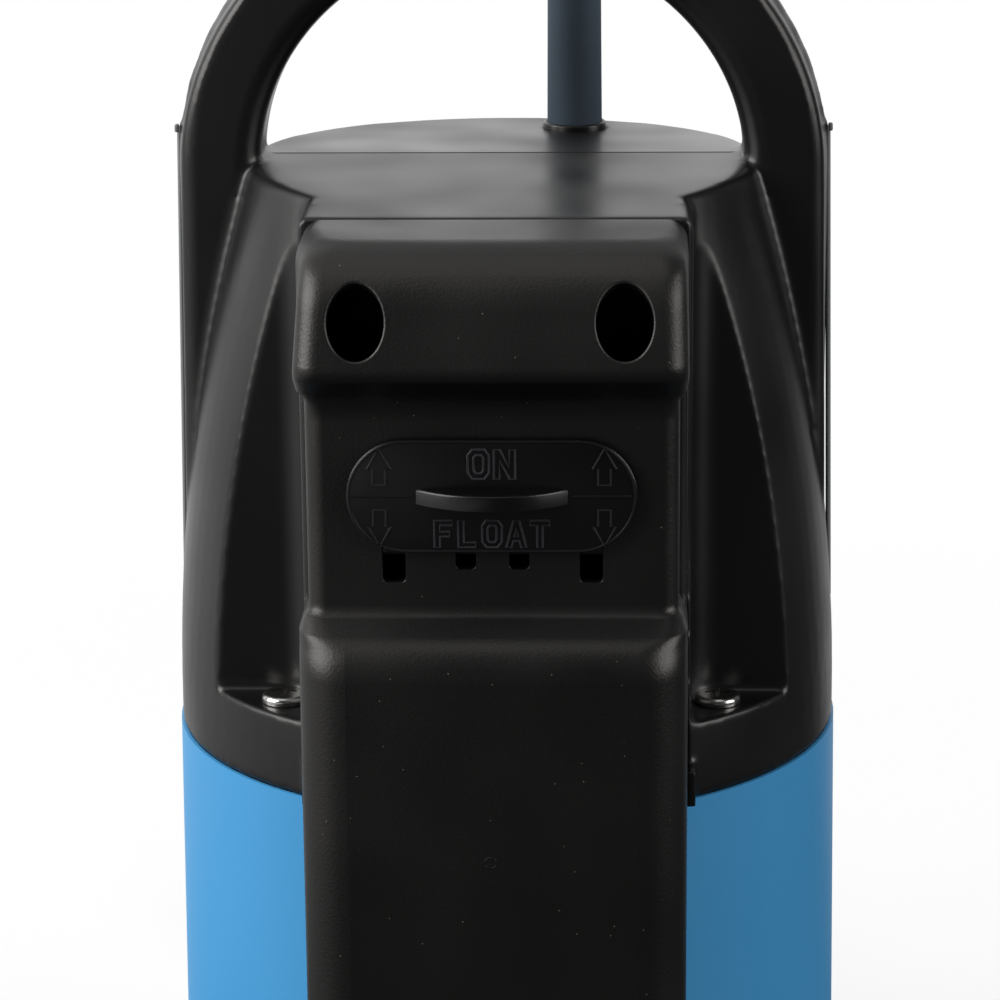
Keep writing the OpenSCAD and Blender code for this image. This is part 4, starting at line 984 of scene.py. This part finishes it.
    def cut_holes(self, bm: bmesh.types.BMesh) -> None:
        """Cuts the notches, the guide slots with their round corners, and the vents.

        Args:
            bm: The shell.
        """
        for x0, x1, z0, z1 in self.notches:
            self.cut(bm, (x0, x1, z0, z1))
            if x0 > 0:
                self.cut(bm, (-x1, -x0, z0, z1))
        snap = self.slot_snap * MM
        corners: list[bmesh.types.BMVert] = []
        for x0, x1, z0, z1 in self.slots:
            for left, right in ((x0, x1), (-x1, -x0)):
                rim = self.cut(bm, (left, right, z0, z1))
                corners += [v for v in points_of(rim)
                            if min(abs(v.co.x - left * MM), abs(v.co.x - right * MM)) < snap
                            and min(abs(v.co.z - z0 * MM), abs(v.co.z - z1 * MM)) < snap]
        bmesh.ops.bevel(bm, geom=corners, offset=self.slot_corner * MM, offset_type="OFFSET", segments=4,
                        profile=0.5, affect="VERTICES", material=-1)
        for side in (-1, 1):
            self.draw_vent(bm, side)

    def thicken(self, made: bpy.types.Object) -> None:
        """Gives the shell its wall and rounds the edges of its holes.

        Args:
            made: The placed shell.
        """
        shell = made.modifiers.new("wall", "SOLIDIFY")
        shell.thickness = self.wall * MM
        shell.offset = -1.0
        rims = made.modifiers.new("rims", "BEVEL")
        rims.width = self.rim_round * MM
        rims.segments = 2
        rims.limit_method = "WEIGHT"
        rims.use_clamp_overlap = False
        rims.face_strength_mode = "FSTR_AFFECTED"
        even = made.modifiers.new("even_shading", "WEIGHTED_NORMAL")
        even.weight = 100
        even.use_face_influence = True

    def add_details(self, skin: bpy.types.Material) -> None:
        """Adds the rib inside and the gate mark.

        Args:
            skin: The cover's material.
        """
        bm = bmesh.new()
        add_box(bm, *self.rib, self.rib_edge)
        x, y, z = self.gate
        mark = [Vector((x + self.gate_radius * math.cos(a), y, z + self.gate_radius * math.sin(a))) * MM
                for a in even_turns(self.gate_steps)]
        add_bead(bm, mark, self.gate_bead * MM, closed=True)
        Piece("cover_rib", self.body, self.slot).place(bm, skin)

    def build(self, skin: bpy.types.Material) -> None:
        """Makes the shell with its holes, its wall and its details.

        Args:
            skin: The cover's material.
        """
        bm = bmesh.new()
        self.outline = self.profile()
        rows = [[bm.verts.new(p) for p in self.section(front, z)] for front, z in self.outline]
        for low, high in zip(rows, rows[1:]):
            for k in range(len(low) - 1):
                bm.faces.new((low[k], low[k + 1], high[k + 1], high[k]))
        bm.faces.new(rows[-1])
        self.cut_holes(bm)
        bmesh.ops.remove_doubles(bm, verts=bm.verts, dist=self.weld * MM)
        weight = bm.edges.layers.float.new("bevel_weight_edge")
        for edge in bm.edges:
            if edge.is_boundary:
                edge[weight] = 1.0 if edge.verts[0].co.z > self.vent_box[2] * MM else self.slot_share
        self.thicken(self.place(bm, skin))
        self.add_details(skin)


# Outlines of plain block letters in a cell 1 high
GLYPHS: dict[str, tuple[tuple[Point, ...], ...]] = {
    "O": (((0.15, 0), (0.55, 0), (0.7, 0.2), (0.7, 0.8), (0.55, 1), (0.15, 1), (0, 0.8), (0, 0.2)),
          ((0.26, 0.19), (0.44, 0.19), (0.51, 0.28), (0.51, 0.72), (0.44, 0.81), (0.26, 0.81), (0.19, 0.72),
           (0.19, 0.28))),
    "N": (((0, 0), (0.19, 0), (0.19, 0.62), (0.51, 0), (0.7, 0), (0.7, 1), (0.51, 1), (0.51, 0.38), (0.19, 1),
           (0, 1)),),
    "F": (((0, 0), (0.2, 0), (0.2, 0.4), (0.55, 0.4), (0.55, 0.58), (0.2, 0.58), (0.2, 0.82), (0.65, 0.82),
           (0.65, 1), (0, 1)),),
    "L": (((0, 0), (0.62, 0), (0.62, 0.18), (0.2, 0.18), (0.2, 1), (0, 1)),),
    "A": (((0, 0), (0.19, 0), (0.25, 0.24), (0.47, 0.24), (0.53, 0), (0.72, 0), (0.46, 1), (0.26, 1)),
          ((0.29, 0.4), (0.43, 0.4), (0.36, 0.72))),
    "T": (((0.25, 0), (0.45, 0), (0.45, 0.82), (0.7, 0.82), (0.7, 1), (0, 1), (0, 0.82), (0.25, 0.82)),),
}


@dataclass
class Slider(Piece):
    """The mode slider: plate, thumb grip, legs and raised marks."""

    middle: float = 216.4
    wide: float = 59.6
    tall: float = 23.8
    plate_back: float = 90.35
    plate_front: float = 91.95
    plate_edge: float = 0.3
    # What the ends' radius lacks to a half circle, so that their arcs don't run into each other
    end_gap: float = 0.01
    end_steps: int = 16
    grip_half: float = 15.5
    grip_tall: float = 3.2
    grip_out: float = 6.0
    grip_edge: float = 0.5
    grip_steps: int = 10
    # How far before the plate's back the grip and the legs begin
    root: float = 0.8
    leg_end: float = 83.0
    # Legs: X of the middle, half width and lower end
    legs: tuple[Triple, ...] = ((20.3, 2.05, 204.25), (5.5, 1.75, 207.05))
    leg_top: float = 217.05
    leg_edge: float = 0.2
    # The raised marks' bead, the rim's way in from the outline, the middle line's gap to the grip and its end
    bead: float = 0.26
    rim_in: float = 0.55
    line_gap: float = 0.8
    line_end: float = 28.6
    # An arrow's outline, its X, and how far the upper and the lower arrow begin from the middle
    arrow: tuple[Point, ...] = (
        (-1.3, 0), (1.3, 0), (1.3, 3.4), (2.4, 3.4), (0, 7.7), (-2.4, 3.4), (-1.3, 3.4))
    arrow_x: float = 23.0
    arrow_gaps: Point = (2.4, 2.9)
    # The words: letters, foot above the middle, and height
    words: tuple[tuple[str, float, float], ...] = (("ON", 3.7, 6.2), ("FLOAT", -10.8, 5.7))
    letter_step: float = 0.86
    letter_wide: float = 0.7

    def prism(self, bm: bmesh.types.BMesh, outline: list[Vector], shift: Vector, edge: float) -> None:
        """Adds a straight prism with its far rim rounded.

        Args:
            bm: The mesh that gets the prism.
            outline: Its first face in metres.
            shift: The way from the first face to the second.
            edge: The rounding of the second face's rim in metres.
        """
        base = bm.faces.new([bm.verts.new(p) for p in outline])
        grown = bmesh.ops.extrude_face_region(bm, geom=[base], use_keep_orig=True)["geom"]
        far = [g for g in grown if isinstance(g, bmesh.types.BMVert)]
        bmesh.ops.translate(bm, vec=shift, verts=far)
        rim = [g for g in grown if isinstance(g, bmesh.types.BMEdge)]
        bmesh.ops.bevel(bm, geom=rim, offset=edge, offset_type="OFFSET", segments=3, profile=0.5,
                        affect="EDGES", material=-1)

    def build(self, skin: bpy.types.Material) -> None:
        """Makes the slider.

        Args:
            skin: Its material.
        """
        bm = bmesh.new()
        bm.verts.layers.float.new(PAINTED_HIGHLIGHT)
        r = self.tall / 2 - self.end_gap
        x, low, high = self.wide / 2, self.middle - self.tall / 2, self.middle + self.tall / 2
        stadium = rounded([(-x, low, r), (x, low, r), (x, high, r), (-x, high, r)], self.end_steps)
        plate = [Vector((p.x, -self.plate_back, p.y)) * MM for p in stadium]
        depth = Vector((0.0, self.plate_back - self.plate_front, 0.0)) * MM
        self.prism(bm, plate, depth, self.plate_edge * MM)
        arc = (self.grip_half ** 2 + self.grip_out ** 2) / (2 * self.grip_out)
        reach = math.asin(self.grip_half / arc)
        bow = [Vector((arc * math.sin(a), -self.plate_front - self.grip_out + arc * (1 - math.cos(a))))
               for a in (reach * (k / self.grip_steps - 1) for k in range(2 * self.grip_steps + 1))]
        root = -self.plate_back - self.root
        bow += [Vector((side * self.grip_half, root)) for side in (1, -1)]
        grip = [Vector((p.x, p.y, self.middle - self.grip_tall / 2)) * MM for p in bow]
        self.prism(bm, grip, Vector((0.0, 0.0, self.grip_tall * MM)), self.grip_edge * MM)
        for side in (-1, 1):
            for mid, half, end in self.legs:
                add_box(bm, (side * mid - half, root, end),
                        (side * mid + half, -self.leg_end, self.leg_top), self.leg_edge)
        self.draw_marks(bm, stadium)
        self.place(bm, skin)

    def raise_line(self, bm: bmesh.types.BMesh, line: Sequence[Point], highlight: Highlight,
                   closed: bool = True) -> None:
        """Raises a bead along a line on the plate's front.

        Args:
            bm: The mesh that gets the bead.
            line: The line's points in the front view, in millimetres.
            highlight: How strongly the bead is painted paler, a painted highlight.
            closed: Whether it ends where it starts.
        """
        painted_highlight = bm.verts.layers.float[PAINTED_HIGHLIGHT]
        points = [Vector((x, -self.plate_front, z)) * MM for x, z in line]
        # Each bead point gets its share of the painted highlight: a paler colour painted on
        for vert in add_bead(bm, points, self.bead * MM, closed):
            vert[painted_highlight] = highlight.value

    def draw_marks(self, bm: bmesh.types.BMesh, stadium: list[Vector]) -> None:
        """Adds the raised rim, the middle line, the arrows and the words.

        Args:
            bm: The mesh that gets them.
            stadium: The plate's outline in millimetres.
        """
        heart = Vector((0.0, self.middle))
        self.raise_line(bm, [tuple(p + (heart - p).normalized() * self.rim_in) for p in stadium], Highlight.RIM)
        for side in (-1, 1):
            line = [(side * x, self.middle) for x in (self.grip_half + self.line_gap, self.line_end)]
            self.raise_line(bm, line, Highlight.LINE, closed=False)
            for way, gap in zip((1, -1), self.arrow_gaps):
                arrow = [(side * self.arrow_x + a, self.middle + way * (gap + b)) for a, b in self.arrow]
                self.raise_line(bm, arrow, Highlight.ARROW)
        for word, foot, tall in self.words:
            step = tall * self.letter_step
            start = -(step * (len(word) - 1) + self.letter_wide * tall) / 2
            for i, letter in enumerate(word):
                for outline in GLYPHS[letter]:
                    line = [(start + i * step + tall * a, self.middle + foot + tall * b) for a, b in outline]
                    self.raise_line(bm, line, Highlight.FULL)


@dataclass
class Tie(Piece):
    """The band round the coil's turns."""

    # The loop round the turns: X, height and the corner's radius
    outline: tuple[Triple, ...] = (
        (-94.1, 0.45, 1.5), (-44.5, 0.45, 1.5), (-44.5, 20.3, 3.0), (-84.4, 20.3, 3.0), (-94.1, 10.6, 3.0))
    middle: float = 208.0
    wide: float = 14.0
    thick: float = 0.9
    round_steps: int = 6
    strips: int = 4

    def build(self, skin: bpy.types.Material) -> bpy.types.Object:
        """Makes the band.

        Args:
            skin: Its material.

        Returns:
            The band.
        """
        bm = bmesh.new()
        loop = rounded(self.outline, self.round_steps)
        places = [self.middle + self.wide * (k / self.strips - 0.5) for k in range(self.strips + 1)]
        rings = [[bm.verts.new(Vector((p.x, y, p.y)) * MM) for p in loop] for y in places]
        for one, two in zip(rings, rings[1:]):
            for k in range(len(loop)):
                bm.faces.new((one[k - 1], one[k], two[k], two[k - 1]))
        made = self.place(bm, skin)
        web = made.modifiers.new("web", "SOLIDIFY")
        web.thickness = self.thick * MM
        web.offset = 0.0
        return made


@dataclass
class Cord:
    """The mains cord: out of the relief, down behind the pump and into a tied coil."""

    radius: float = 4.5 * MM
    length: float = 3.0
    lead: float = 9 * MM
    outer: float = 72 * MM
    pitch: float = 9.6 * MM
    turns: float = 4.0
    climb: float = 0.5
    dip: float = 2 * MM
    back_turns: float = 3.25
    steps: int = 24
    lead_out: float = 50 * MM
    route: tuple[Triple, ...] = (
        (15.5, 39.5, 318), (15.5, 39.5, 332), (15.5, 46, 356), (15.5, 63.5, 373.5), (15.5, 87.5, 380),
        (15.5, 111.5, 373.5), (15.5, 129, 356), (15.5, 135.5, 332), (15.5, 136, 310), (15.5, 136, 285),
        (16, 136, 260), (17, 136, 235), (18.5, 136, 210), (20, 136, 185), (21.5, 136, 160),
        (23, 136, 135), (24.5, 136, 110), (25.5, 136, 85), (26, 136, 60), (26, 136, 41.5),
        (23, 136, 27.5), (15.5, 136, 16), (4, 136, 8.5), (-5, 136, 5.5), (-10, 136, 5.5))

    def coil_point(self, turn: float) -> Vector:
        """Gives a point of the coil: in on the floor, up half a turn, out on top.

        Args:
            turn: Turns from the coil's start.

        Returns:
            The point on the cord's middle line.
        """
        start = Vector(self.route[-1]) * MM
        inner = self.outer - self.pitch * self.turns
        risen = min(max((turn - self.turns) / self.climb, 0.0), 1.0)
        if turn < self.turns:
            radius = self.outer - self.pitch * turn
        elif risen < 1.0:
            radius = inner - self.dip * math.sin(math.pi * risen)
        else:
            radius = inner + self.pitch * (turn - self.turns - self.climb)
        angle = math.radians(-90 - 360 * turn)
        middle = start + Vector((-self.lead, self.outer, 0.0))
        return middle + Vector((radius * math.cos(angle), radius * math.sin(angle), self.pitch * risen))

    def path(self) -> list[Vector]:
        """Gives the cord's middle line from the relief to the plug.

        Returns:
            The line's points in metres.
        """
        total = self.turns + self.climb + self.back_turns
        coil = [self.coil_point(i / self.steps) for i in range(round(total * self.steps) + 1)]
        out = [coil[-1] - Vector((0.0, self.lead_out * s, 0.0)) for s in (0.5, 1.0)]
        return [Vector(p) * MM for p in self.route] + coil + out

    def build(self, skin: bpy.types.Material, carried: list[bpy.types.Object]) -> None:
        """Args:
            skin: The sheath's material.
            carried: The pieces that lie with the cord. Not used.
        """
        points = self.path()
        data = bpy.data.curves.new("cord", "CURVE")
        data.dimensions = "3D"
        data.bevel_depth = self.radius
        data.bevel_resolution = 5
        data.resolution_u = 4
        data.use_fill_caps = True
        spline = data.splines.new("BEZIER")
        spline.bezier_points.add(len(points) - 1)
        for knot, point in zip(spline.bezier_points, points):
            knot.co = point
            knot.handle_left_type = knot.handle_right_type = "AUTO"
        cord = bpy.data.objects.new("cord", data)
        bpy.context.scene.collection.objects.link(cord)
        data.materials.append(skin)
        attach(cord, Body.HOUSING.value)
        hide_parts("power_cord", "cord_coil")


def dress_nodes(frame: dict[str, Any], finishes: dict[Slot, bpy.types.Material]) -> None:
    """Gives every node of the frame the finish of its slot.

    Args:
        frame: The loaded frame.
        finishes: A material for each slot.
    """
    for part in frame["record"]["subparts"]:
        mesh = frame["nodes"][part["node"]].data
        mesh.materials.clear()
        mesh.materials.append(finishes[Slot(part["material_slot"])])
        LOG.info("dressed %s as %s", part["node"], part["material_slot"])


def main() -> None:
    """Builds the studio, the finishes and the pieces, in order."""
    logging.basicConfig(level=logging.INFO, format="%(name)s: %(message)s")
    for item in list(bpy.data.objects):
        bpy.data.objects.remove(item)
    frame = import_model()
    Studio().build()
    finishes = {slot: finish.material() for slot, finish in FINISHES.items()}
    dress_nodes(frame, finishes)
    nodes = frame["nodes"]
    Head("head", Body.HOUSING, Slot.HEAD, ("head_cover",)).build(nodes["head_cover"], finishes[Slot.HEAD])
    Cover("cover", Body.HOUSING, Slot.COVER, ("float_cover",)).build(finishes[Slot.COVER])
    Slider("slider", Body.SLIDER, Slot.SLIDER, ("mode_slider",)).build(finishes[Slot.SLIDER])
    tie = Tie("tie", Body.HOUSING, Slot.TIE, ("cord_tie",)).build(finishes[Slot.TIE])
    Cord().build(finishes[Slot.CORD], [nodes["plug"], nodes["plug_blades"], tie])


if __name__ == "__main__":
    main()
